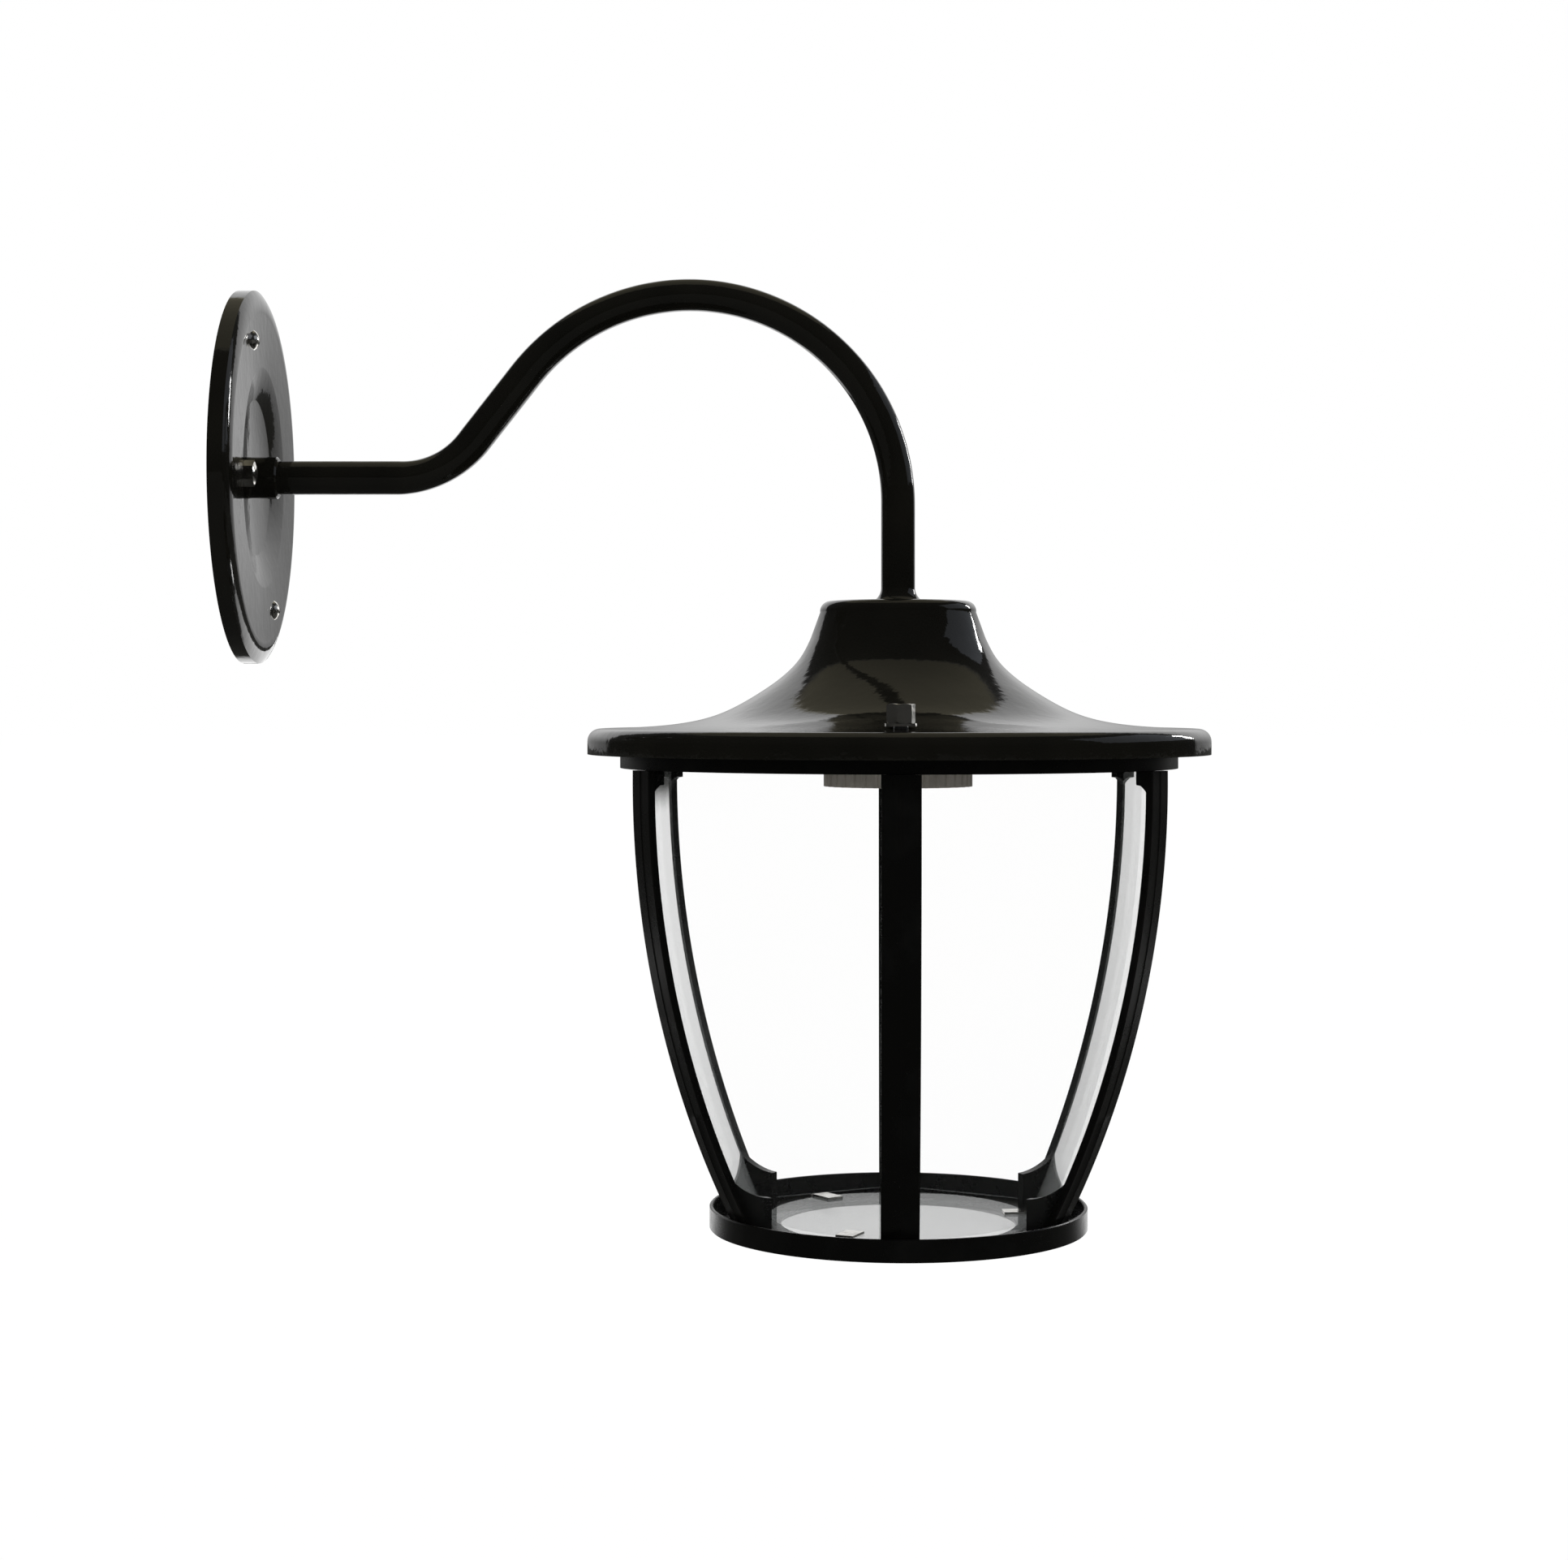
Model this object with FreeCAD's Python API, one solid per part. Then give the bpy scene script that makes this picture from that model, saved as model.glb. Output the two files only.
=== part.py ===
"""Outdoor wall light: a swan-neck arm, an enamelled hood and a six-sided glazed lantern.

Millimetres, +Z up. The wall is the plane X = 0 and the arm leaves it along +X.
The origin is where the arm's axis meets the wall.
"""
import FreeCAD, Part
import math
import os

V = FreeCAD.Vector
X_AXIS = V(1, 0, 0)
Y_AXIS = V(0, 1, 0)
Z_AXIS = V(0, 0, 1)
CENTRE = V(0, 0, 0)

# Wall plate
PLATE_R = 82.3
PLATE_SHEET = 1.5
PLATE_EDGE_X = 6.5
PLATE_CREST_X = 9.5
PLATE_CREST_R = 77.3
PLATE_MIDDLE_X = 5.0
PLATE_MIDDLE_R = 36.0

# Wall fixings
STUD_REACH = 26.0
STUD_R = 2.5
STUD_HOLE_R = 2.9
NUT_FLATS = 10.0
NUT_HEX_H = 4.5
NUT_DOME_H = 1.2
SCREW_REACH = 63.0
SCREW_ANGLE = 113.0
SCREW_R = 2.0
SCREW_HEAD_R = 4.6
SCREW_HEAD_H = 3.0
SCREW_SLOT_W = 1.0
SCREW_SLOT_DEPTH = 1.2

# Arm
TUBE_R = 7.5
TUBE_WALL = 1.5
TUBE_CLEARANCE = 0.1
TUBE_BACK_X = 0.5
ARM_CLIMB = 52.0
ARM_LOW_BEND_R = 42.0
ARM_TOP_BEND_R = 92.4
LAMP_X = 290.0
ARM_DROP_Z = -11.3
COLLAR_R = 9.3
COLLAR_LENGTH = 10.5
COLLAR_EDGE = 0.8
LOCK_RING_R = 13.0
LOCK_RING_T = 2.6

# Hood, as radius and height at the outer skin
HOOD_TOP_Z = -54.7
HOOD_SHEET = 1.5
HOOD_TOP_R = 30.0
HOOD_SHOULDER_DROP = 5.0
NECK_TOP_R = 34.6
NECK_FOOT_R = 38.7
NECK_FOOT_DROP = 16.3
FLARE = ((43.2, 24.8), (50.2, 32.4), (62.5, 41.2), (80.0, 50.2), (100.0, 54.6))
SKIRT_DROP = 56.4
SKIRT_TO_RIM = 8.5
RIM_OVERHANG = 14.4
RIM_ROLL = 5.5
RIM_BOTTOM_DROP = 67.6
FERRULE_R = 11.2
FERRULE_H = 6.0
LOCK_WASHER_R = 15.0
LOCK_WASHER_T = 1.5
LOCK_NUT_FLATS = 22.0
LOCK_NUT_H = 6.0
TUBE_END_DROP = 17.0

# Fixings that hold the lantern under the hood
BOLT_INSET = 21.4
BOLT_R = 3.0
BOLT_HOLE_R = 3.3
BOLT_HEAD_FLATS = 10.0
BOLT_HEAD_H = 4.0
WASHER_R = 6.6
WASHER_T = 1.2
TOP_NUT_FLATS = 10.6
TOP_NUT_H = 8.0
TOP_NUT_DISH_R = 4.0
TOP_NUT_DISH = 1.6

# Lantern
RIBS = 6
RIB_STEP = 360.0 / RIBS
FRONT_ANGLE = 268.3
RING_SHOW = 6.0
RING_FLANGE_T = 3.0
RING_FLANGE_W = 23.1
RING_WALL = 3.0
SEAT_GAP = 0.2
RIB_TOP_R = 126.4
RIB_FOOT_R = 76.2
RIB_BOW_R = 412.0
RIB_T = 3.0
RIB_W = 16.2
WEB_T = 4.0
FOOT_DEPTH = 10.2
FOOT_EDGE_H = 16.0
FOOT_STEP = 2.5
FOOT_SWEEP_H = 21.0
HEAD_DEPTH = 10.3
HEAD_EDGE_H = 6.0
HEAD_STEP = 2.0
HEAD_SWEEP_H = 11.0
LANTERN_H = 203.4
PANE_T = 2.0
PANE_GAP = 0.3
PANE_EDGE_GAP = 3.0
TRAY_R = 83.6
TRAY_WALL = 1.7
TRAY_H = 9.8
TRAY_FLOOR_T = 2.0
TRAY_HOLE_R = 52.0
DISC_R = 57.0
DISC_T = 3.0
CLIPS = 3
CLIP_FIRST_ANGLE = 5.0
CLIP_T = 1.0
CLIP_W = 8.0
CLIP_TIP_R = 47.0
CLIP_STEP_R = 58.5
CLIP_END_R = 67.5
CLIP_SCREW_REACH = 63.3
CLIP_SCREW_R = 1.5
CLIP_SCREW_HEAD_R = 2.8
CLIP_SCREW_HEAD_H = 1.8

# Lamp holder
CAP_TOP_R = 11.0
CAP_R = 20.0
CAP_H = 14.0
BODY_R = 20.0
BODY_H = 38.0
SOCKET_R = 15.5
SOCKET_DEPTH = 34.0
SLEEVE_T = 1.0
SLEEVE_H = 24.0
CONTACT_R = 5.0
CONTACT_T = 2.0
LAMP_RING_R = 33.0
LAMP_RING_H = 13.0
LAMP_RING_RIBS = 36
LAMP_RING_RIB_R = 1.1

# Radii worked out from the sizes above
RING_R = RIB_TOP_R - RIB_T - PANE_GAP
RING_INNER_R = RING_R - RING_FLANGE_W
BOLT_REACH = RIB_TOP_R - BOLT_INSET
RIM_R = RING_R + RIM_OVERHANG
SKIRT_R = RIM_R - SKIRT_TO_RIM

# Levels worked out from the sizes above
RIM_BOTTOM_Z = HOOD_TOP_Z - RIM_BOTTOM_DROP
RING_BOTTOM_Z = RIM_BOTTOM_Z - RING_SHOW
TRAY_BOTTOM_Z = RING_BOTTOM_Z - LANTERN_H
FLOOR_Z = TRAY_BOTTOM_Z + TRAY_FLOOR_T
TUBE_END_Z = HOOD_TOP_Z - TUBE_END_DROP


def solid_of(shape):
    """Return the single solid that a shape holds."""
    return shape.Solids[0]


def outline(place, start, *steps):
    """Close a wire of lines and arcs: a step is a point, or a pair of mid and end points for an arc."""
    edges = []
    here = start
    for step in steps + (start,):
        if isinstance(step[0], tuple):
            middle, there = step
            edges.append(Part.Arc(place(*here), place(*middle), place(*there)).toShape())
        else:
            there = step
            edges.append(Part.LineSegment(place(*here), place(*there)).toShape())
        here = there
    return Part.Face(Part.Wire(edges))


def on_lamp(radius, height):
    """Place a radius and a height in the plane of the lantern's axis and +X."""
    return V(LAMP_X + radius, 0, height)


def on_arm(along, radius):
    """Place a distance from the wall and a radius about the arm's root."""
    return V(along, 0, radius)


def lamp_point(radius, angle, height):
    """Return a point at a radius, an angle and a height about the lantern's axis."""
    turn = math.radians(angle)
    return V(LAMP_X + radius * math.cos(turn), radius * math.sin(turn), height)


def turned(face):
    """Turn a face about the lantern's axis."""
    return solid_of(face.revolve(V(LAMP_X, 0, 0), Z_AXIS, 360))


def rod(radius, start, along):
    """Return a round bar from a point along a vector."""
    return Part.makeCylinder(radius, along.Length, start, along)


def hexagon(flats, start, along):
    """Return a hexagonal bar of a width across flats, from a point along a vector."""
    corner = flats / 2 / math.cos(math.radians(30))
    points = []
    for index in range(7):
        turn = math.radians(60 * index)
        points.append(V(corner * math.cos(turn), corner * math.sin(turn), 0))
    face = Part.Face(Part.makePolygon(points))
    bar = face.extrude(V(0, 0, along.Length))
    bar.Placement = FreeCAD.Placement(start, FreeCAD.Rotation(Z_AXIS, along))
    return solid_of(bar)


def spin(shape, angle):
    """Return a copy of a shape, turned about the lantern's axis."""
    copy = shape.copy()
    copy.rotate(V(LAMP_X, 0, 0), Z_AXIS, angle)
    return copy


def group(shapes):
    """Hold separate solids in one node."""
    return Part.makeCompound(shapes)


# Wall plate and its fixings

def plate_skin(inset):
    """Return the plate's outer form as a solid, moved in by a sheet's thickness."""
    edge_r = PLATE_R - inset
    edge_mid_r = (edge_r + PLATE_CREST_R) / 2 + (edge_r - PLATE_CREST_R) * 0.2
    edge_mid_x = (PLATE_EDGE_X + PLATE_CREST_X) / 2 + (PLATE_CREST_X - PLATE_EDGE_X) * 0.2 - inset
    face = outline(
        on_arm,
        (0, 0),
        (0, edge_r),
        (PLATE_EDGE_X - inset, edge_r),
        ((edge_mid_x, edge_mid_r), (PLATE_CREST_X - inset, PLATE_CREST_R)),
        (PLATE_MIDDLE_X - inset, PLATE_MIDDLE_R),
        (PLATE_MIDDLE_X - inset, 0),
    )
    return solid_of(face.revolve(CENTRE, X_AXIS, 360))


def plate_face_x(radius):
    """Return how far the plate's face stands from the wall at a radius."""
    if radius <= PLATE_MIDDLE_R:
        return PLATE_MIDDLE_X
    slope = (PLATE_CREST_X - PLATE_MIDDLE_X) / (PLATE_CREST_R - PLATE_MIDDLE_R)
    return PLATE_MIDDLE_X + slope * (radius - PLATE_MIDDLE_R)


def stud_places():
    """Return where the studs stand on the wall, each side of the arm."""
    return [V(0, -STUD_REACH, 0), V(0, STUD_REACH, 0)]


def screw_places():
    """Return where the screws stand on the wall, near the plate's top and bottom."""
    turn = math.radians(SCREW_ANGLE)
    place = V(0, SCREW_REACH * math.cos(turn), SCREW_REACH * math.sin(turn))
    return [place, place * -1]


def make_wall_plate():
    """Press the plate: a dish with a turned edge, holed for the arm, the studs and the screws."""
    plate = plate_skin(0).cut(plate_skin(PLATE_SHEET))
    through = X_AXIS * (2 * PLATE_CREST_X)
    holes = [rod(TUBE_R + TUBE_CLEARANCE, CENTRE, through)]
    for place in stud_places():
        holes.append(rod(STUD_HOLE_R, place, through))
    for place in screw_places():
        holes.append(rod(SCREW_R + TUBE_CLEARANCE, place, through))
    return solid_of(plate.cut(holes))


def make_wall_studs():
    """Make the studs, from the wall into the nuts."""
    length = PLATE_MIDDLE_X + NUT_HEX_H
    return group([rod(STUD_R, place, X_AXIS * length) for place in stud_places()])


def make_wall_nuts():
    """Make the domed nuts, seated on the plate's middle over the studs."""
    corner = NUT_FLATS / 2
    dome_r = (corner ** 2 + NUT_DOME_H ** 2) / (2 * NUT_DOME_H)
    nuts = []
    for place in stud_places():
        seat = place + X_AXIS * PLATE_MIDDLE_X
        nut = hexagon(NUT_FLATS, seat, X_AXIS * NUT_HEX_H)
        ball = Part.makeSphere(dome_r, seat + X_AXIS * (NUT_HEX_H + NUT_DOME_H - dome_r))
        cap = ball.common(rod(corner, seat + X_AXIS * NUT_HEX_H, X_AXIS * NUT_DOME_H))
        bore = rod(STUD_R, seat, X_AXIS * NUT_HEX_H)
        nuts.append(solid_of(nut.fuse(cap).removeSplitter().cut(bore)))
    return group(nuts)


def make_wall_screws():
    """Make the round-headed screws, slotted, from the wall to the plate's face."""
    head_r = (SCREW_HEAD_R ** 2 + SCREW_HEAD_H ** 2) / (2 * SCREW_HEAD_H)
    seat_x = plate_face_x(SCREW_REACH + SCREW_HEAD_R)
    screws = []
    for place in screw_places():
        seat = place + X_AXIS * seat_x
        ball = Part.makeSphere(head_r, seat + X_AXIS * (SCREW_HEAD_H - head_r))
        head = ball.common(rod(SCREW_HEAD_R, seat, X_AXIS * SCREW_HEAD_H))
        slot = Part.makeBox(SCREW_SLOT_DEPTH, SCREW_SLOT_W, 2 * SCREW_HEAD_R)
        slot.translate(seat + V(SCREW_HEAD_H - SCREW_SLOT_DEPTH, -SCREW_SLOT_W / 2, -SCREW_HEAD_R))
        shank = rod(SCREW_R, place, X_AXIS * seat_x)
        screws.append(solid_of(head.cut(slot).fuse(shank).removeSplitter()))
    return group(screws)


# Arm

def arm_path():
    """Return the arm's centre line: out, up, over the top and down to the hood."""
    climb = math.radians(ARM_CLIMB)
    upward = V(math.cos(climb), 0, math.sin(climb))
    top_centre = V(LAMP_X - ARM_TOP_BEND_R, 0, ARM_DROP_Z)
    top_in = top_centre + V(-math.sin(climb), 0, math.cos(climb)) * ARM_TOP_BEND_R
    corner = top_in - upward * (top_in.z / upward.z)
    start = V(TUBE_BACK_X, 0, 0)
    low_in = corner - X_AXIS * (ARM_LOW_BEND_R * math.tan(climb / 2))
    low_centre = low_in + Z_AXIS * ARM_LOW_BEND_R
    low_mid = low_centre + V(math.sin(climb / 2), 0, -math.cos(climb / 2)) * ARM_LOW_BEND_R
    low_out = low_centre + V(math.sin(climb), 0, -math.cos(climb)) * ARM_LOW_BEND_R
    half = (math.pi / 2 - climb) / 2
    top_mid = top_centre + V(math.sin(half), 0, math.cos(half)) * ARM_TOP_BEND_R
    top_out = top_centre + X_AXIS * ARM_TOP_BEND_R
    end = V(LAMP_X, 0, TUBE_END_Z)
    return Part.Wire([
        Part.LineSegment(start, low_in).toShape(),
        Part.Arc(low_in, low_mid, low_out).toShape(),
        Part.LineSegment(low_out, top_in).toShape(),
        Part.Arc(top_in, top_mid, top_out).toShape(),
        Part.LineSegment(top_out, end).toShape(),
    ])


def bent_bar(path, radius):
    """Return a round bar bent along a path that starts along +X."""
    ring = Part.makeCircle(radius, path.OrderedVertexes[0].Point, X_AXIS)
    return solid_of(path.makePipeShell([Part.Wire(ring)], True, False))


def make_arm_tube():
    """Bend the arm from one tube."""
    path = arm_path()
    return solid_of(bent_bar(path, TUBE_R).cut(bent_bar(path, TUBE_R - TUBE_WALL)))


def make_arm_collar():
    """Make the short sleeve round the arm's root, standing on the plate."""
    seat = X_AXIS * PLATE_MIDDLE_X
    sleeve = rod(COLLAR_R, seat, X_AXIS * COLLAR_LENGTH)
    far_edges = [edge for edge in sleeve.Edges if edge.BoundBox.XMin > PLATE_MIDDLE_X + COLLAR_LENGTH / 2]
    sleeve = sleeve.makeChamfer(COLLAR_EDGE, far_edges)
    return solid_of(sleeve.cut(rod(TUBE_R, seat, X_AXIS * COLLAR_LENGTH)))


def make_arm_lock_ring():
    """Make the ring that holds the arm's end behind the plate."""
    seat = X_AXIS * (PLATE_MIDDLE_X - PLATE_SHEET - LOCK_RING_T)
    ring = rod(LOCK_RING_R, seat, X_AXIS * LOCK_RING_T)
    return solid_of(ring.cut(rod(TUBE_R, seat, X_AXIS * LOCK_RING_T)))


def make_hood_ferrule():
    """Make the flared sleeve where the arm meets the hood's top."""
    face = outline(
        on_lamp,
        (TUBE_R, HOOD_TOP_Z),
        (FERRULE_R, HOOD_TOP_Z),
        ((TUBE_R + (FERRULE_R - TUBE_R) * 0.35, HOOD_TOP_Z + FERRULE_H * 0.35), (TUBE_R, HOOD_TOP_Z + FERRULE_H)),
    )
    return turned(face)


def make_hood_lock_washer():
    """Make the washer under the hood's top."""
    top = V(LAMP_X, 0, HOOD_TOP_Z - HOOD_SHEET)
    washer = rod(LOCK_WASHER_R, top, Z_AXIS * -LOCK_WASHER_T)
    return solid_of(washer.cut(rod(TUBE_R, top, Z_AXIS * -LOCK_WASHER_T)))


def make_hood_lock_nut():
    """Make the nut on the arm's end that clamps the hood."""
    top = V(LAMP_X, 0, HOOD_TOP_Z - HOOD_SHEET - LOCK_WASHER_T)
    nut = hexagon(LOCK_NUT_FLATS, top, Z_AXIS * -LOCK_NUT_H)
    return solid_of(nut.cut(rod(TUBE_R, top, Z_AXIS * -LOCK_NUT_H)))


# Hood

def hood_flare(inset):
    """Return the curve from the neck's foot to the skirt, moved in square to itself."""
    points = [(NECK_FOOT_R, NECK_FOOT_DROP)] + list(FLARE) + [(SKIRT_R, SKIRT_DROP)]
    curve = Part.BSplineCurve()
    curve.interpolate([on_lamp(radius, HOOD_TOP_Z - drop) for radius, drop in points])
    if inset == 0:
        return curve
    moved = []
    for radius, drop in points:
        place = on_lamp(radius, HOOD_TOP_Z - drop)
        along = curve.tangent(curve.parameter(place))[0]
        moved.append(place + V(along.z, 0, -along.x) * inset)
    inner = Part.BSplineCurve()
    inner.interpolate(moved)
    return inner


def hood_skin(inset):
    """Return the hood's form as a solid of revolution, moved in by a sheet's thickness."""
    top = HOOD_TOP_Z - inset
    flare = hood_flare(inset)
    neck_foot = flare.StartPoint
    skirt_end = flare.EndPoint
    shoulder = on_lamp(NECK_TOP_R - inset, HOOD_TOP_Z - HOOD_SHOULDER_DROP)
    shoulder_mid = on_lamp(
        HOOD_TOP_R + (NECK_TOP_R - HOOD_TOP_R) * 0.72 - inset * 0.7,
        HOOD_TOP_Z - HOOD_SHOULDER_DROP * 0.26 - inset * 0.7,
    )
    roll_r = RIM_ROLL - inset
    rim_top = V(LAMP_X + RIM_R - inset, 0, skirt_end.z - roll_r)
    roll_in = V(LAMP_X + RIM_R - RIM_ROLL, 0, skirt_end.z)
    roll_mid = roll_in + V(math.sin(math.pi / 4), 0, math.cos(math.pi / 4) - 1) * roll_r
    rim_bottom = on_lamp(RIM_R - inset, RIM_BOTTOM_Z)
    edges = [
        Part.LineSegment(on_lamp(0, RIM_BOTTOM_Z), on_lamp(0, top)).toShape(),
        Part.LineSegment(on_lamp(0, top), on_lamp(HOOD_TOP_R, top)).toShape(),
        Part.Arc(on_lamp(HOOD_TOP_R, top), shoulder_mid, shoulder).toShape(),
        Part.LineSegment(shoulder, neck_foot).toShape(),
        flare.toShape(),
        Part.LineSegment(skirt_end, roll_in).toShape(),
        Part.Arc(roll_in, roll_mid, rim_top).toShape(),
        Part.LineSegment(rim_top, rim_bottom).toShape(),
        Part.LineSegment(rim_bottom, on_lamp(0, RIM_BOTTOM_Z)).toShape(),
    ]
    return turned(Part.Face(Part.Wire(edges)))


def hood_level(radius, inset):
    """Return the height of the hood's skin at a radius on its flare or skirt."""
    flare = hood_flare(inset)
    if radius >= flare.EndPoint.x - LAMP_X:
        return flare.EndPoint.z
    upright = Part.LineSegment(on_lamp(radius, HOOD_TOP_Z), on_lamp(radius, RIM_BOTTOM_Z))
    meet = flare.intersectCC(upright)[0]
    return meet.Z


def bolt_angles():
    """Return the angles of the two bolts, front and back."""
    return [FRONT_ANGLE, FRONT_ANGLE - 180]


def make_hood():
    """Spin the hood: flat top, neck, flare and skirt with a rolled-down rim."""
    hood = hood_skin(0).cut(hood_skin(HOOD_SHEET))
    holes = [rod(TUBE_R + TUBE_CLEARANCE, V(LAMP_X, 0, HOOD_TOP_Z - RIM_ROLL), Z_AXIS * 2 * RIM_ROLL)]
    for angle in bolt_angles():
        holes.append(rod(BOLT_HOLE_R, lamp_point(BOLT_REACH, angle, RIM_BOTTOM_Z), Z_AXIS * RIM_BOTTOM_DROP))
    return solid_of(hood.cut(holes))


def washer_seat():
    """Return the height of the washers on the hood's skirt."""
    return hood_level(BOLT_REACH - WASHER_R, 0)


def make_hood_washers():
    """Make the washers under the bright nuts."""
    washers = []
    for angle in bolt_angles():
        seat = lamp_point(BOLT_REACH, angle, washer_seat())
        washer = rod(WASHER_R, seat, Z_AXIS * WASHER_T)
        washers.append(solid_of(washer.cut(rod(BOLT_HOLE_R, seat, Z_AXIS * WASHER_T))))
    return group(washers)


def make_hood_nuts():
    """Make the tall bright nuts on the hood, dished at the top."""
    nuts = []
    for angle in bolt_angles():
        seat = lamp_point(BOLT_REACH, angle, washer_seat() + WASHER_T)
        nut = hexagon(TOP_NUT_FLATS, seat, Z_AXIS * TOP_NUT_H)
        crown = seat + Z_AXIS * (TOP_NUT_H - TOP_NUT_DISH)
        dish = Part.makeCone(BOLT_R, TOP_NUT_DISH_R, TOP_NUT_DISH, crown, Z_AXIS)
        nuts.append(solid_of(nut.cut([dish, rod(BOLT_R, seat, Z_AXIS * TOP_NUT_H)])))
    return group(nuts)


def make_hood_bolts():
    """Make the bolts up through the lantern's top ring and the hood."""
    bolts = []
    top = washer_seat() + WASHER_T + TOP_NUT_H - TOP_NUT_DISH
    for angle in bolt_angles():
        seat = lamp_point(BOLT_REACH, angle, RING_BOTTOM_Z)
        head = hexagon(BOLT_HEAD_FLATS, seat, Z_AXIS * -BOLT_HEAD_H)
        shank = rod(BOLT_R, seat, Z_AXIS * (top - RING_BOTTOM_Z))
        bolts.append(solid_of(head.fuse(shank).removeSplitter()))
    return group(bolts)


# Lantern

def make_top_ring():
    """Make the angle ring: a flange for the ribs and a wall up to the hood's underside."""
    wall_top = hood_level(RING_R, HOOD_SHEET) - SEAT_GAP
    face = outline(
        on_lamp,
        (RING_INNER_R, RING_BOTTOM_Z),
        (RING_R, RING_BOTTOM_Z),
        (RING_R, wall_top),
        (RING_R - RING_WALL, wall_top),
        (RING_R - RING_WALL, RING_BOTTOM_Z + RING_FLANGE_T),
        (RING_INNER_R, RING_BOTTOM_Z + RING_FLANGE_T),
    )
    holes = []
    for angle in bolt_angles():
        place = lamp_point(BOLT_REACH, angle, RING_BOTTOM_Z)
        holes.append(rod(BOLT_HOLE_R, place, Z_AXIS * RING_FLANGE_T))
    return solid_of(turned(face).cut(holes))


def bow_centre():
    """Return the centre of the ribs' bow, as a radius and a height."""
    rise = RING_BOTTOM_Z - FLOOR_Z
    spread = RIB_TOP_R - RIB_FOOT_R
    chord = math.hypot(rise, spread)
    inward = math.sqrt(RIB_BOW_R ** 2 - (chord / 2) ** 2)
    middle_r = (RIB_TOP_R + RIB_FOOT_R) / 2
    middle_z = (RING_BOTTOM_Z + FLOOR_Z) / 2
    return middle_r - inward * rise / chord, middle_z + inward * spread / chord


def bow_radius(height, inset):
    """Return the radius of the ribs' bow at a height, moved in square to itself."""
    centre_r, centre_z = bow_centre()
    return centre_r + math.sqrt((RIB_BOW_R - inset) ** 2 - (height - centre_z) ** 2)


def bowed_strip(outer, inner):
    """Return the section between two depths below the ribs' face, from the tray's floor to the ring."""
    middle_z = (RING_BOTTOM_Z + FLOOR_Z) / 2
    levels = (FLOOR_Z, middle_z, RING_BOTTOM_Z)
    out = [(bow_radius(level, outer), level) for level in levels]
    back = [(bow_radius(level, inner), level) for level in levels]
    return outline(on_lamp, out[0], (out[1], out[2]), back[2], (back[1], back[0]))


def rib_section():
    """Return a web's side outline: as thin as the strip, deepening to a stepped foot and head."""
    middle_z = (RING_BOTTOM_Z + FLOOR_Z) / 2
    foot_r = bow_radius(FLOOR_Z, FOOT_DEPTH)
    foot_top = FLOOR_Z + FOOT_EDGE_H
    sweep_top = foot_top + FOOT_SWEEP_H
    foot_step = (foot_r + FOOT_STEP, foot_top)
    foot_end = (bow_radius(sweep_top, RIB_T), sweep_top)
    foot_mid = sweep_middle(foot_step, foot_end)
    head_r = bow_radius(RING_BOTTOM_Z, HEAD_DEPTH)
    head_low = RING_BOTTOM_Z - HEAD_EDGE_H
    sweep_low = head_low - HEAD_SWEEP_H
    head_step = (head_r + HEAD_STEP, head_low)
    head_end = (bow_radius(sweep_low, RIB_T), sweep_low)
    head_mid = sweep_middle(head_step, head_end)
    return outline(
        on_lamp,
        (RIB_FOOT_R, FLOOR_Z),
        ((bow_radius(middle_z, 0), middle_z), (RIB_TOP_R, RING_BOTTOM_Z)),
        (head_r, RING_BOTTOM_Z),
        (head_r, head_low),
        head_step,
        (head_mid, head_end),
        ((bow_radius(middle_z, RIB_T), middle_z), foot_end),
        (foot_mid, foot_step),
        (foot_r, foot_top),
        (foot_r, FLOOR_Z),
    )


def sweep_middle(step, end):
    """Return the middle point of the hollow sweep from a foot's or head's step to the strip's back."""
    return step[0] + (end[0] - step[0]) * 0.64, step[1] + (end[1] - step[1]) * 0.36


def make_rib():
    """Make one rib on +X: a bowed strip with a web behind it that deepens to a foot and a head."""
    strip = bowed_strip(0, RIB_T).extrude(Y_AXIS * RIB_W)
    strip.translate(Y_AXIS * (-RIB_W / 2))
    web = rib_section().extrude(Y_AXIS * WEB_T)
    web.translate(Y_AXIS * (-WEB_T / 2))
    return solid_of(strip.fuse(web).removeSplitter())


def rib_notches():
    """Return the blocks that clear a rib's foot and head out of the panes beside it."""
    width = WEB_T + 2 * PANE_GAP
    foot_h = FOOT_EDGE_H + FOOT_SWEEP_H
    head_h = HEAD_EDGE_H + HEAD_SWEEP_H
    return [
        Part.makeBox(RIB_TOP_R, width, foot_h, V(LAMP_X, -width / 2, FLOOR_Z)),
        Part.makeBox(RIB_TOP_R, width, head_h, V(LAMP_X, -width / 2, RING_BOTTOM_Z - head_h)),
    ]


def make_pane():
    """Make one curved pane behind the ribs, half a step round from +X, notched at their feet and heads."""
    edge = math.degrees(PANE_EDGE_GAP / 2 / RIB_FOOT_R)
    section = bowed_strip(RIB_T + PANE_GAP, RIB_T + PANE_GAP + PANE_T)
    pane = spin(section.revolve(V(LAMP_X, 0, 0), Z_AXIS, RIB_STEP - 2 * edge), edge)
    notches = rib_notches()
    return solid_of(pane.cut(notches + [spin(notch, RIB_STEP) for notch in notches]))


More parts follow.
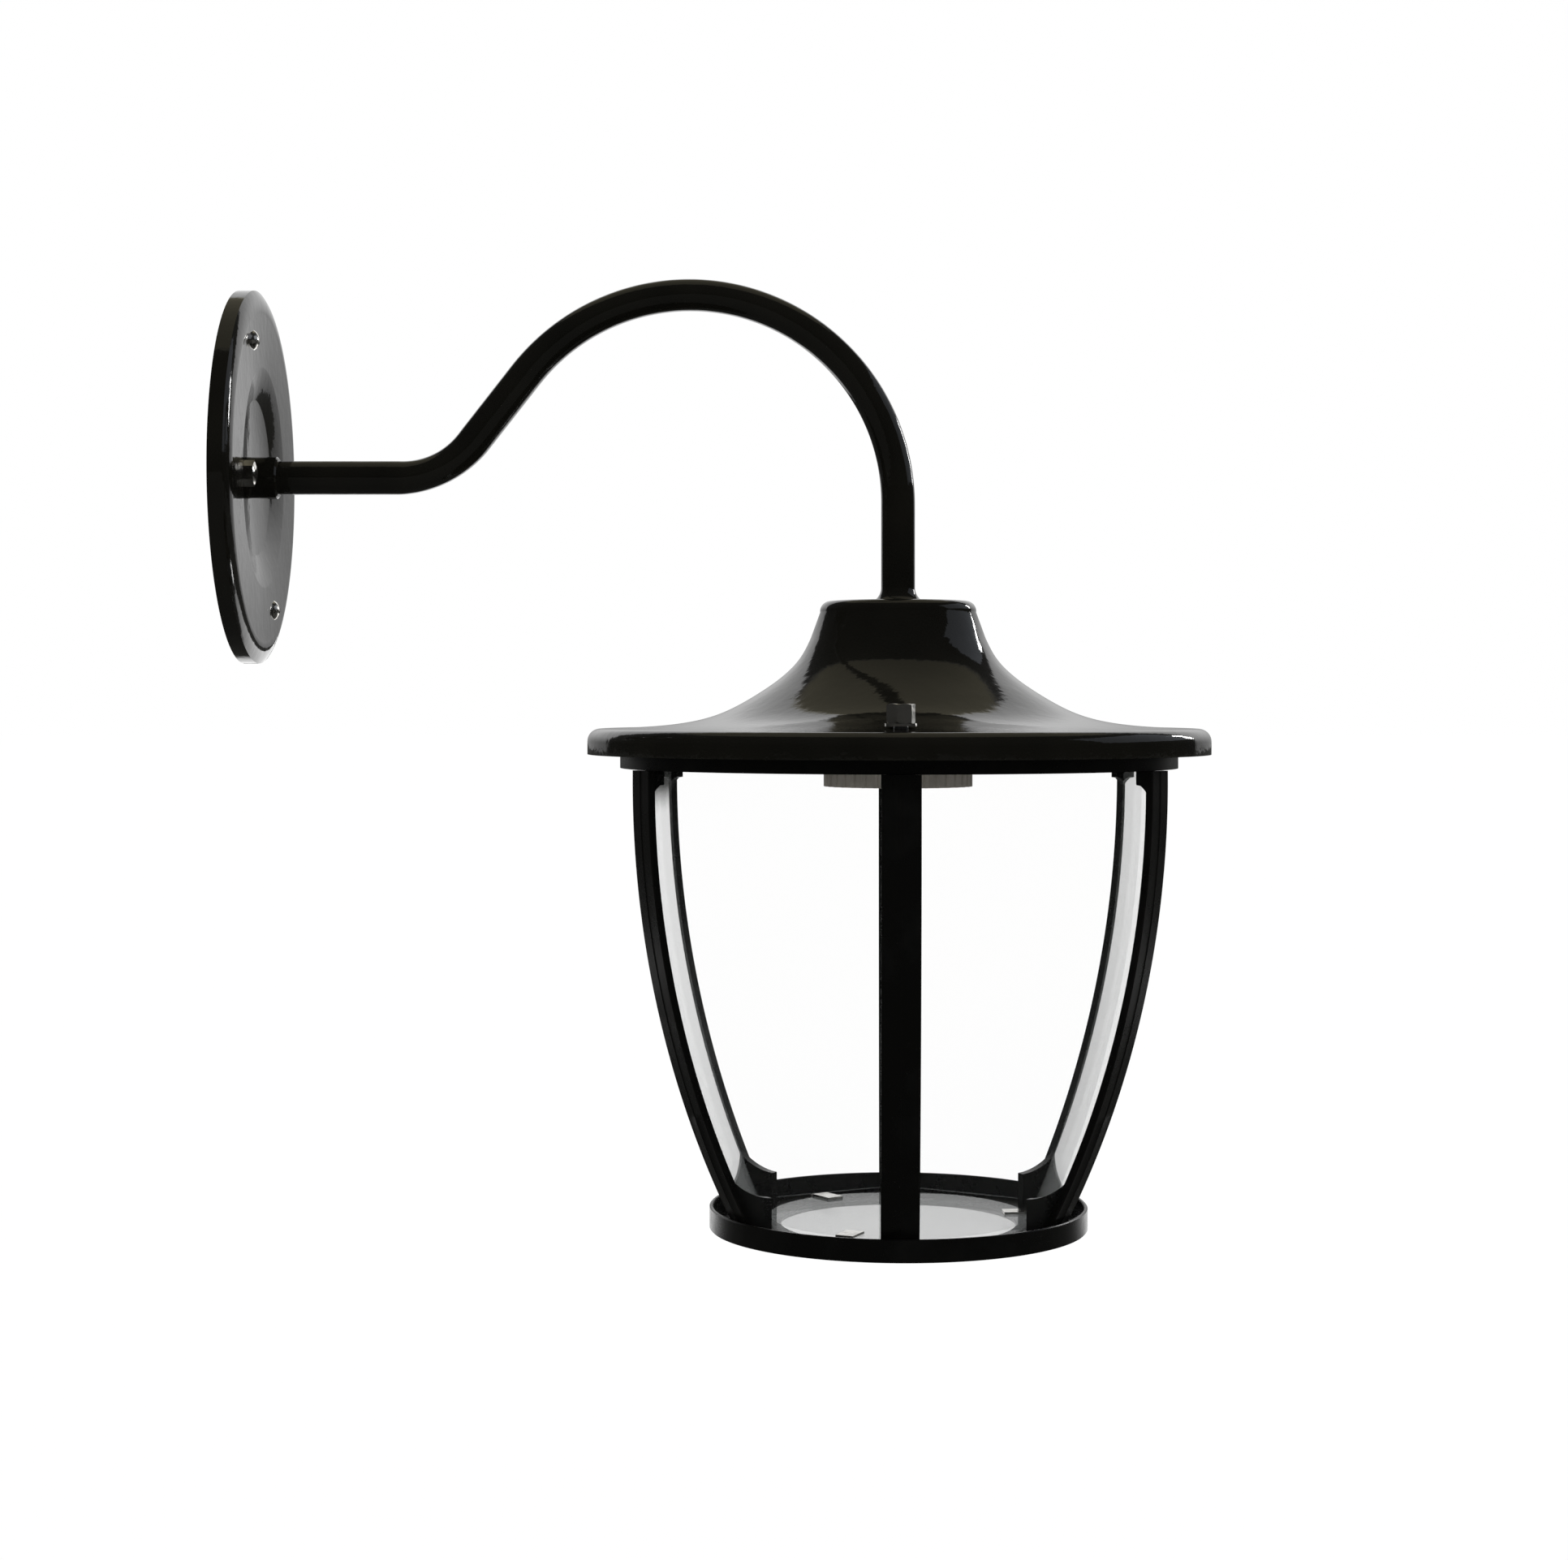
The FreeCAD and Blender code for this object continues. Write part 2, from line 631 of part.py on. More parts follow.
def make_bottom_tray():
    """Make the tray: a ring wall with a floor, open in the middle."""
    face = outline(
        on_lamp,
        (TRAY_HOLE_R, TRAY_BOTTOM_Z),
        (TRAY_R, TRAY_BOTTOM_Z),
        (TRAY_R, TRAY_BOTTOM_Z + TRAY_H),
        (TRAY_R - TRAY_WALL, TRAY_BOTTOM_Z + TRAY_H),
        (TRAY_R - TRAY_WALL, FLOOR_Z),
        (TRAY_HOLE_R, FLOOR_Z),
    )
    holes = []
    for angle in clip_angles():
        place = lamp_point(CLIP_SCREW_REACH, angle, TRAY_BOTTOM_Z)
        holes.append(rod(CLIP_SCREW_R, place, Z_AXIS * TRAY_FLOOR_T))
    return solid_of(turned(face).cut(holes))


def make_bottom_pane():
    """Make the clear disc that lies on the tray's floor."""
    return rod(DISC_R, V(LAMP_X, 0, FLOOR_Z), Z_AXIS * DISC_T)


def clip_angles():
    """Return the angles of the clips round the tray."""
    return [CLIP_FIRST_ANGLE + 360.0 / CLIPS * index for index in range(CLIPS)]


def make_pane_clips():
    """Make the bright clips, stepped up from the tray's floor over the disc."""
    low = FLOOR_Z
    high = FLOOR_Z + DISC_T
    face = outline(
        on_lamp,
        (CLIP_END_R, low),
        (CLIP_END_R, low + CLIP_T),
        (CLIP_STEP_R + CLIP_T, low + CLIP_T),
        (CLIP_STEP_R + CLIP_T, high + CLIP_T),
        (CLIP_TIP_R, high + CLIP_T),
        (CLIP_TIP_R, high),
        (CLIP_STEP_R, high),
        (CLIP_STEP_R, low),
    )
    clip = face.extrude(Y_AXIS * CLIP_W)
    clip.translate(Y_AXIS * (-CLIP_W / 2))
    clip = solid_of(clip.cut(rod(CLIP_SCREW_R, lamp_point(CLIP_SCREW_REACH, 0, low), Z_AXIS * CLIP_T)))
    return group([spin(clip, angle) for angle in clip_angles()])


def make_clip_screws():
    """Make the screws that hold the clips to the tray."""
    screws = []
    for angle in clip_angles():
        seat = lamp_point(CLIP_SCREW_REACH, angle, FLOOR_Z + CLIP_T)
        shank = rod(CLIP_SCREW_R, seat, Z_AXIS * -(CLIP_T + TRAY_FLOOR_T))
        head = Part.makeCone(CLIP_SCREW_HEAD_R, CLIP_SCREW_HEAD_R * 0.6, CLIP_SCREW_HEAD_H, seat, Z_AXIS)
        screws.append(solid_of(head.fuse(shank).removeSplitter()))
    return group(screws)


# Lamp holder, hung from the arm's end

CAP_TOP_Z = TUBE_END_Z
BODY_TOP_Z = CAP_TOP_Z - CAP_H
BODY_BOTTOM_Z = BODY_TOP_Z - BODY_H
LAMP_RING_BOTTOM_Z = BODY_BOTTOM_Z - LAMP_RING_H
SLEEVE_TOP_Z = BODY_BOTTOM_Z + SLEEVE_H
SOCKET_TOP_Z = BODY_BOTTOM_Z + SOCKET_DEPTH


def make_lamp_cap():
    """Make the holder's cap on the arm's end, open for the wires."""
    wire_way = TUBE_R - TUBE_WALL
    face = outline(
        on_lamp,
        (wire_way, CAP_TOP_Z),
        (CAP_TOP_R, CAP_TOP_Z),
        ((CAP_TOP_R + (CAP_R - CAP_TOP_R) * 0.75, CAP_TOP_Z - CAP_H * 0.3), (CAP_R, BODY_TOP_Z)),
        (wire_way, BODY_TOP_Z),
    )
    return turned(face)


def make_lamp_body():
    """Make the holder's body, with the socket's hollow."""
    body = rod(BODY_R, V(LAMP_X, 0, BODY_BOTTOM_Z), Z_AXIS * BODY_H)
    hollow = rod(SOCKET_R, V(LAMP_X, 0, BODY_BOTTOM_Z), Z_AXIS * SOCKET_DEPTH)
    return solid_of(body.cut(hollow))


def make_socket_sleeve():
    """Make the screwed sleeve that a lamp turns into."""
    base = V(LAMP_X, 0, BODY_BOTTOM_Z)
    sleeve = rod(SOCKET_R, base, Z_AXIS * SLEEVE_H)
    return solid_of(sleeve.cut(rod(SOCKET_R - SLEEVE_T, base, Z_AXIS * SLEEVE_H)))


def make_socket_contact():
    """Make the contact at the socket's top."""
    return rod(CONTACT_R, V(LAMP_X, 0, SOCKET_TOP_Z), Z_AXIS * -CONTACT_T)


def make_lamp_ring():
    """Make the grey ring under the holder, ribbed all round for the fingers."""
    base = V(LAMP_X, 0, LAMP_RING_BOTTOM_Z)
    ring = rod(LAMP_RING_R - LAMP_RING_RIB_R, base, Z_AXIS * LAMP_RING_H)
    grips = []
    for index in range(LAMP_RING_RIBS):
        place = lamp_point(LAMP_RING_R - LAMP_RING_RIB_R, 360.0 / LAMP_RING_RIBS * index, LAMP_RING_BOTTOM_Z)
        grips.append(rod(LAMP_RING_RIB_R, place, Z_AXIS * LAMP_RING_H))
    way = rod(SOCKET_R, base, Z_AXIS * LAMP_RING_H)
    return solid_of(ring.fuse(grips).cut(way))


def all_nodes():
    """Return every node's name and shape."""
    nodes = {
        "wall_plate": make_wall_plate(),
        "wall_studs": make_wall_studs(),
        "wall_nuts": make_wall_nuts(),
        "wall_screws": make_wall_screws(),
        "arm_tube": make_arm_tube(),
        "arm_collar": make_arm_collar(),
        "arm_lock_ring": make_arm_lock_ring(),
        "hood_ferrule": make_hood_ferrule(),
        "hood_lock_washer": make_hood_lock_washer(),
        "hood_lock_nut": make_hood_lock_nut(),
        "hood": make_hood(),
        "hood_washers": make_hood_washers(),
        "hood_nuts": make_hood_nuts(),
        "hood_bolts": make_hood_bolts(),
        "top_ring": make_top_ring(),
        "bottom_tray": make_bottom_tray(),
        "bottom_pane": make_bottom_pane(),
        "pane_clips": make_pane_clips(),
        "clip_screws": make_clip_screws(),
        "lamp_cap": make_lamp_cap(),
        "lamp_body": make_lamp_body(),
        "lamp_ring": make_lamp_ring(),
        "socket_sleeve": make_socket_sleeve(),
        "socket_contact": make_socket_contact(),
    }
    rib = make_rib()
    pane = make_pane()
    for index in range(RIBS):
        angle = FRONT_ANGLE + RIB_STEP * index
        nodes["rib_%d" % (index + 1)] = spin(rib, angle)
        nodes["pane_%d" % (index + 1)] = spin(pane, angle)
    return nodes


os.makedirs("parts", exist_ok=True)
for name, shape in all_nodes().items():
    shape.exportStep("parts/%s.step" % name)
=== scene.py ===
"""Looks of the outdoor wall light: enamel, paint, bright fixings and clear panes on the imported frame.

Every length in the classes is a real size in millimetres. Meshes are made in metres, in the frame of the
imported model: the wall is X = 0, the arm leaves it along +X and +Z is up.
"""
from __future__ import annotations

import logging
import math
from dataclasses import dataclass, field
from enum import Enum
from typing import Any, Callable, Sequence

import bmesh
import bpy
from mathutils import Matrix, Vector


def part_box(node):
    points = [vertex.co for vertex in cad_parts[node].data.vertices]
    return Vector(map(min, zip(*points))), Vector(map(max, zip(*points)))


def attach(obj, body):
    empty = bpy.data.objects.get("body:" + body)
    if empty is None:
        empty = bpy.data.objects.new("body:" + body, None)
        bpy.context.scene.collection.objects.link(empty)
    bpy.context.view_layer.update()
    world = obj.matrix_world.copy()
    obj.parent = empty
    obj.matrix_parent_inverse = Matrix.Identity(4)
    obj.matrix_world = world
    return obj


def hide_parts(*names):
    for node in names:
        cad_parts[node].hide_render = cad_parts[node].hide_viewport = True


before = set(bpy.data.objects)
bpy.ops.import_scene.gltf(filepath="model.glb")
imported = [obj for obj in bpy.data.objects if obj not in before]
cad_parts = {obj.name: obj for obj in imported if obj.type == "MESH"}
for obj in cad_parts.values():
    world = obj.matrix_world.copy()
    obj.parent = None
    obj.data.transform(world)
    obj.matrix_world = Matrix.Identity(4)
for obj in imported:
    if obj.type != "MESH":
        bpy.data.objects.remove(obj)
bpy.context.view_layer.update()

LOG = logging.getLogger("wall_light")
MM = 0.001
BODY = "root"
SMOOTH_ANGLE = math.radians(32)
WELD = 1e-6
WHITE = "#ffffff"
# Most of a noise texture's values lie in this band.
NOISE_BAND = (0.3, 0.7)
# The lantern's axis, and the way that its first rib faces.
LAMP_X = 290.0
FRONT_DEG = 268.3

Pair = tuple[float, float]
Point = tuple[float, float, float]
Station = tuple[Pair, float, float]
Place = Callable[[float, float, float], Vector]


class Slot(Enum):
    """Material slots of the record."""

    ENAMEL = "black_enamel"
    PAINT = "black_paint"
    BRIGHT = "bright_plating"
    ZINC = "zinc_steel"
    CLEAR = "clear_pane"
    GREY = "grey_plastic"
    HOLDER = "holder_plastic"
    CERAMIC = "holder_ceramic"
    BRASS = "brass"


Finishes = dict[Slot, bpy.types.Material]


# Colour and shader helpers

def linear(code: str) -> tuple[float, float, float, float]:
    """Turn an sRGB hex value into linear colour.

    Args:
        code: six hex digits after a hash sign.

    Returns:
        Red, green, blue and an alpha of 1.
    """
    channels = []
    for index in (1, 3, 5):
        value = int(code[index:index + 2], 16) / 255
        channels.append(value / 12.92 if value <= 0.04045 else ((value + 0.055) / 1.055) ** 2.4)
    return channels[0], channels[1], channels[2], 1.0


def add_node(tree: bpy.types.NodeTree, kind: str, inputs: dict[Any, Any] | None = None,
             **settings: Any) -> Any:
    """Add a node, set its properties, and fill or link its inputs.

    Args:
        tree: the node tree that gets the node.
        kind: the node's type name.
        inputs: values or output sockets, by input name or number.
        settings: the node's own properties.

    Returns:
        The new node.
    """
    node = tree.nodes.new(kind)
    for name, value in settings.items():
        setattr(node, name, value)
    for name, value in (inputs or {}).items():
        if isinstance(value, bpy.types.NodeSocket):
            tree.links.new(value, node.inputs[name])
        else:
            node.inputs[name].default_value = value
    return node


def pattern_scale(size_mm: float) -> float:
    """Return the texture scale whose features are about a size in millimetres, in object coordinates."""
    return 1.0 / (size_mm * MM)


def new_tree(name: str) -> tuple[bpy.types.Material, bpy.types.NodeTree, Any]:
    """Start a node material.

    Args:
        name: the material's name.

    Returns:
        The material, its empty tree and the tree's object coordinates.
    """
    material = bpy.data.materials.new(name)
    material.use_nodes = True
    tree = material.node_tree
    tree.nodes.clear()
    place = add_node(tree, "ShaderNodeTexCoord").outputs["Object"]
    return material, tree, place


def close_tree(tree: bpy.types.NodeTree, shader: Any) -> None:
    """Link a shader to the tree's output."""
    add_node(tree, "ShaderNodeOutputMaterial", {"Surface": shader.outputs[0]})


# Finishes

@dataclass(frozen=True)
class VitreousEnamel:
    """Black vitreous enamel, fired on spun and pressed steel.

    Glass on steel gives a deep black with hard reflections, which the slow waviness of the melt bends.
    """

    name: str = "vitreous_enamel_black"
    colour: str = "#0d0d0b"
    thin_colour: str = "#191814"
    roughness: float = 0.05
    haze: float = 0.05
    haze_band: Pair = (0.3, 0.75)
    ior: float = 1.52
    wave_mm: float = 26.0
    wave_detail: float = 1.0
    wave_height_mm: float = 0.2
    peel_mm: float = 5.5
    peel_detail: float = 2.0
    peel_height_mm: float = 0.1

    def build(self) -> bpy.types.Material:
        """Build the enamel's material.

        Returns:
            The material.
        """
        material, tree, place = new_tree(self.name)
        wave = add_node(tree, "ShaderNodeTexNoise",
                        {"Vector": place, "Scale": pattern_scale(self.wave_mm), "Detail": self.wave_detail})
        peel = add_node(tree, "ShaderNodeTexNoise",
                        {"Vector": place, "Scale": pattern_scale(self.peel_mm), "Detail": self.peel_detail})
        tone = add_node(tree, "ShaderNodeMix",
                        {0: wave.outputs["Fac"], 6: linear(self.colour), 7: linear(self.thin_colour)},
                        data_type="RGBA")
        slow = add_node(tree, "ShaderNodeBump",
                        {"Height": wave.outputs["Fac"], "Distance": self.wave_height_mm * MM,
                         "Strength": 1.0})
        fine = add_node(tree, "ShaderNodeBump",
                        {"Height": peel.outputs["Fac"], "Distance": self.peel_height_mm * MM,
                         "Strength": 1.0, "Normal": slow.outputs["Normal"]})
        haze = add_node(tree, "ShaderNodeMapRange",
                        {"Value": peel.outputs["Fac"],
                         "From Min": self.haze_band[0], "From Max": self.haze_band[1],
                         "To Min": self.roughness, "To Max": self.roughness + self.haze})
        shader = add_node(tree, "ShaderNodeBsdfPrincipled",
                          {"Base Color": tone.outputs[2], "Roughness": haze.outputs[0],
                           "IOR": self.ior, "Normal": fine.outputs["Normal"]})
        close_tree(tree, shader)
        return material


@dataclass(frozen=True)
class GrainedFinish:
    """A finish with clouds of tone and roughness, under a fine grain."""

    name: str
    colour: str
    cloud_colour: str
    roughness: float
    ior: float = 1.5
    specular: float = 0.5
    metallic: float = 0.0
    haze_down: float = 0.0
    haze_up: float = 0.1
    cloud_mm: float = 14.0
    cloud_detail: float = 5.0
    cloud_roughness: float = 0.5
    cloud_band: Pair = (0.35, 0.7)
    most_cloud: float = 1.0
    grain_mm: float = 0.7
    grain_detail: float = 1.0
    grain_height_mm: float = 0.03
    grain_strength: float = 0.5

    def build(self) -> bpy.types.Material:
        """Build the finish's material.

        Returns:
            The material.
        """
        material, tree, place = new_tree(self.name)
        cloud = add_node(tree, "ShaderNodeTexNoise",
                         {"Vector": place, "Scale": pattern_scale(self.cloud_mm),
                          "Detail": self.cloud_detail, "Roughness": self.cloud_roughness}).outputs["Fac"]
        grain = add_node(tree, "ShaderNodeTexNoise",
                         {"Vector": place, "Scale": pattern_scale(self.grain_mm),
                          "Detail": self.grain_detail}).outputs["Fac"]
        amount = add_node(tree, "ShaderNodeMapRange",
                          {"Value": cloud, "From Min": self.cloud_band[0], "From Max": self.cloud_band[1],
                           "To Min": 0.0, "To Max": self.most_cloud})
        tone = add_node(tree, "ShaderNodeMix",
                        {0: amount.outputs[0], 6: linear(self.colour), 7: linear(self.cloud_colour)},
                        data_type="RGBA")
        haze = add_node(tree, "ShaderNodeMapRange",
                        {"Value": cloud, "From Min": NOISE_BAND[0], "From Max": NOISE_BAND[1],
                         "To Min": self.roughness - self.haze_down,
                         "To Max": self.roughness + self.haze_up})
        bump = add_node(tree, "ShaderNodeBump",
                        {"Height": grain, "Distance": self.grain_height_mm * MM,
                         "Strength": self.grain_strength})
        shader = add_node(tree, "ShaderNodeBsdfPrincipled",
                          {"Base Color": tone.outputs[2], "Metallic": self.metallic,
                           "Roughness": haze.outputs[0], "IOR": self.ior,
                           "Specular IOR Level": self.specular, "Normal": bump.outputs["Normal"]})
        close_tree(tree, shader)
        return material


@dataclass(frozen=True)
class SatinPaint(GrainedFinish):
    """Black oven paint, sprayed on bent steel strip.

    The sprayed film is satin, with a fine grain, and dust and wear leave paler clouds on it.
    """

    name: str = "satin_paint_black"
    colour: str = "#070706"
    cloud_colour: str = "#121110"
    roughness: float = 0.26
    ior: float = 1.45
    specular: float = 0.3
    haze_down: float = 0.08
    haze_up: float = 0.12
    cloud_mm: float = 30.0
    cloud_detail: float = 6.0
    cloud_roughness: float = 0.65
    cloud_band: Pair = (0.48, 0.72)
    most_cloud: float = 0.8
    grain_mm: float = 0.9
    grain_detail: float = 2.0
    grain_height_mm: float = 0.02
    grain_strength: float = 0.6


@dataclass(frozen=True)
class Metal(GrainedFinish):
    """A metal with a plated, drawn or turned surface.

    Fine marks of the making spread its highlights, and small stains change its tone.
    """

    metallic: float = 1.0
    haze_up: float = 0.12
    cloud_mm: float = 4.0
    cloud_detail: float = 4.0
    cloud_band: Pair = (0.45, 0.7)
    grain_mm: float = 0.5
    grain_height_mm: float = 0.01


@dataclass(frozen=True)
class Moulding(GrainedFinish):
    """A moulded or glazed holder part: phenolic plastic or porcelain.

    The mould leaves a soft grain and faint flow clouds, and a glaze smooths both.
    """


@dataclass(frozen=True)
class ClearAcrylic:
    """Clear acrylic sheet, bent hot to the ribs' curve.

    It is all but unseen face on. Where it is seen along its face it turns opaque, and its pale grey colour
    is a painted reflection of its surroundings, over a real gloss.
    """

    name: str = "clear_acrylic"
    # Painted reflection: the pale grey that the pane shows where it is seen along its face.
    colour: str = "#b0b3b2"
    roughness: float = 0.03
    ior: float = 1.49
    least_painted_reflection_cover: float = 0.004
    most_painted_reflection_cover: float = 0.95
    even_blend: float = 0.5
    rise: float = 3.8
    ripple_mm: float = 40.0
    ripple_height_mm: float = 0.05
    ripple_strength: float = 0.5

    def build(self) -> bpy.types.Material:
        """Build the acrylic's material.

        Returns:
            The material.
        """
        material, tree, place = new_tree(self.name)
        ripple = add_node(tree, "ShaderNodeTexNoise",
                          {"Vector": place, "Scale": pattern_scale(self.ripple_mm), "Detail": 0.0})
        bump = add_node(tree, "ShaderNodeBump",
                        {"Height": ripple.outputs["Fac"], "Distance": self.ripple_height_mm * MM,
                         "Strength": self.ripple_strength})
        # The pane turns opaque where it is seen along its face, so its grey colour shows there as a painted
        # reflection over its real gloss.
        facing = add_node(tree, "ShaderNodeLayerWeight", {"Blend": self.even_blend})
        grazing_share = add_node(tree, "ShaderNodeMath", {0: facing.outputs["Facing"], 1: self.rise},
                          operation="POWER")
        painted_reflection_cover = add_node(tree, "ShaderNodeMapRange",
                         {"Value": grazing_share.outputs[0],
                          "To Min": self.least_painted_reflection_cover, "To Max": self.most_painted_reflection_cover})
        shader = add_node(tree, "ShaderNodeBsdfPrincipled",
                          {"Base Color": linear(self.colour), "Roughness": self.roughness, "IOR": self.ior,
                           "Alpha": painted_reflection_cover.outputs[0], "Normal": bump.outputs["Normal"]})
        close_tree(tree, shader)
        return material


def all_finishes() -> Finishes:
    """Build every finish once.

    Returns:
        The material of each slot.
    """
    return {
        Slot.ENAMEL: VitreousEnamel().build(),
        Slot.PAINT: SatinPaint().build(),
        Slot.BRIGHT: Metal("bright_nickel_plate", "#e2e0db", "#c4c1bb", 0.1).build(),
        Slot.ZINC: Metal("zinc_plated_steel", "#a9abad", "#8b8c8a", 0.32).build(),
        Slot.CLEAR: ClearAcrylic().build(),
        # The grey moulding is painted paler than its own colour, as painted light that makes up for the
        # shade inside the hood.
        Slot.GREY: Moulding("grey_phenolic_moulding", "#bdb8b0", "#a8a39b", 0.5, 1.5).build(),
        Slot.HOLDER: Moulding("black_phenolic_moulding", "#161513", "#211f1d", 0.4, 1.5).build(),
        Slot.CERAMIC: Moulding("glazed_porcelain", "#e9e5db", "#dfdacd", 0.12, 1.52,
                               grain_height_mm=0.004).build(),
        Slot.BRASS: Metal("pressed_brass", "#c9a45a", "#a8843f", 0.22).build(),
    }


# Mesh helpers

def arc_points(start: Pair, middle: Pair, end: Pair, count: int) -> list[Pair]:
    """Return points on the circle arc through three points.

    Args:
        start: the arc's first point.
        middle: a point that it passes.
        end: its last point.
        count: how many steps it is divided into.

    Returns:
        The points from start to end, both included.
    """
    (ax, ay), (bx, by), (cx, cy) = start, middle, end
    turn = 2 * (ax * (by - cy) + bx * (cy - ay) + cx * (ay - by))
    a2 = ax * ax + ay * ay
    b2 = bx * bx + by * by
    c2 = cx * cx + cy * cy
    ux = (a2 * (by - cy) + b2 * (cy - ay) + c2 * (ay - by)) / turn
    uy = (a2 * (cx - bx) + b2 * (ax - cx) + c2 * (bx - ax)) / turn
    radius = math.hypot(ax - ux, ay - uy)
    first = math.atan2(ay - uy, ax - ux)
    through = math.atan2(by - uy, bx - ux)
    last = math.atan2(cy - uy, cx - ux)
    whole = 2 * math.pi
    sweep = (last - first) % whole
    if (through - first) % whole > sweep:
        sweep -= whole
    angles = [first + sweep * index / count for index in range(count + 1)]
    return [(ux + radius * math.cos(angle), uy + radius * math.sin(angle)) for angle in angles]


def smooth_points(points: Sequence[Pair], steps: int) -> list[Pair]:
    """Return points on the natural cubic curve through some points, spaced by their chords.

    Args:
        points: the points that the curve passes.
        steps: how many steps each span is divided into.

    Returns:
        The points of the curve from the first to the last.
    """
    last = len(points) - 1
    knots = [0.0]
    for (ax, ay), (bx, by) in zip(points, points[1:]):
        knots.append(knots[-1] + math.hypot(bx - ax, by - ay))
    bends = []
    for axis in (0, 1):
        value = [point[axis] for point in points]
        lower = [0.0] * (last + 1)
        moved = [0.0] * (last + 1)
        for index in range(1, last):
            before = knots[index] - knots[index - 1]
            after = knots[index + 1] - knots[index]
            jump = (value[index + 1] - value[index]) / after - (value[index] - value[index - 1]) / before
            pivot = 2 * (before + after) - before * lower[index - 1]
            lower[index] = after / pivot
            moved[index] = (6 * jump - before * moved[index - 1]) / pivot
        bend = [0.0] * (last + 1)
        for index in range(last - 1, 0, -1):
            bend[index] = moved[index] - lower[index] * bend[index + 1]
        bends.append(bend)
    curve = [points[0]]
    for index in range(last):
        span = knots[index + 1] - knots[index]
        for step in range(1, steps + 1):
            there = step / steps
            here = 1 - there
            curve.append(tuple(
                here * points[index][axis] + there * points[index + 1][axis]
                + ((here ** 3 - here) * bends[axis][index] + (there ** 3 - there) * bends[axis][index + 1])
                * span * span / 6
                for axis in (0, 1)
            ))
    return curve


def inset_points(points: Sequence[Pair], depth: float) -> list[Pair]:
    """Move an open profile to its right by a depth, square to itself.

    Args:
        points: the profile's points.
        depth: how far it moves.

    Returns:
        The moved points.
    """
    moved = []
    last = len(points) - 1
    for index, point in enumerate(points):
        before = points[max(index - 1, 0)]
        after = points[min(index + 1, last)]
        along = (after[0] - before[0], after[1] - before[1])
        length = math.hypot(*along)
        moved.append((point[0] + along[1] / length * depth, point[1] - along[0] / length * depth))
    return moved


def about_arm(radius: float, angle: float, away: float) -> Vector:
    """Place a radius about the arm's root and a distance from the wall, in metres."""
    return Vector((away, radius * math.cos(angle), radius * math.sin(angle))) * MM


def about_lantern(radius: float, angle: float, height: float) -> Vector:
    """Place a radius about the lantern's axis and a height, in metres."""
    return Vector((LAMP_X + radius * math.cos(angle), radius * math.sin(angle), height)) * MM


def finish_mesh(name: str, mesh_data: bmesh.types.BMesh) -> bpy.types.Object:
    """Turn a built mesh into a smooth-shaded object with its sharp corners kept.

    Args:
        name: the object's name.
        mesh_data: the built mesh, which is freed.

    Returns:
        The object, linked to the scene.
    """
    bmesh.ops.recalc_face_normals(mesh_data, faces=mesh_data.faces)
    mesh = bpy.data.meshes.new(name)
    mesh_data.to_mesh(mesh)
    mesh_data.free()
    mesh.shade_smooth()
    mesh.set_sharp_from_angle(angle=SMOOTH_ANGLE)
    piece = bpy.data.objects.new(name, mesh)
    bpy.context.scene.collection.objects.link(piece)
    return piece


def skin(rings: Sequence[Sequence[Vector]], built: bmesh.types.BMesh,
         closed: bool = False) -> list[list[bmesh.types.BMVert]]:
    """Join rings of points into a tube of faces.

    Args:
        rings: closed rings of as many points each.
        built: the mesh that gets the faces.
        closed: whether the last ring is joined to the first.

    Returns:
        The rings' vertices.
    """
    rows = [[built.verts.new(point) for point in ring] for ring in rings]
    for row, beside in zip(rows, rows[1:] + (rows[:1] if closed else [])):
        for index in range(len(row)):
            after = (index + 1) % len(row)
            built.faces.new((row[index], row[after], beside[after], beside[index]))
    return rows


def bar(name: str, rings: Sequence[Sequence[Vector]]) -> bpy.types.Object:
    """Join rings of points into a bar with closed ends.

    Args:
        name: the object's name.
        rings: closed rings of as many points each.

    Returns:
        The closed mesh as an object.
    """
    built = bmesh.new()
    rows = skin(rings, built)
    built.faces.new(rows[0])
    built.faces.new(rows[-1])
    bmesh.ops.remove_doubles(built, verts=built.verts, dist=WELD)
    return finish_mesh(name, built)


def lathe(name: str, profile: Sequence[Pair], place: Place, segments: int) -> bpy.types.Object:
    """Turn a closed profile all round an axis.

    Args:
        name: the object's name.
        profile: radius and height pairs of a closed section, in millimetres.
        place: turns a radius, an angle in radians and a height into a point.
        segments: how many steps the turn is divided into.

    Returns:
        The closed mesh as an object.
    """
    built = bmesh.new()
    angles = [math.radians(360.0 * step / segments) for step in range(segments)]
    rings = [[place(radius, angle, height) for radius, height in profile] for angle in angles]
    skin(rings, built, closed=True)
    return finish_mesh(name, built)


def dress(piece: bpy.types.Object, finishes: Finishes, slot: Slot, node: str) -> None:
    """Give a new piece its finish, its body and the node that it stands for.

    Args:
        piece: the new piece.
        finishes: the material of each slot.
        slot: the piece's slot.
        node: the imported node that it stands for.
    """
    piece.data.materials.clear()
    piece.data.materials.append(finishes[slot])
    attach(piece, BODY)
    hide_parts(node)
    LOG.info("%s stands for %s", piece.name, node)


# Sub-assemblies

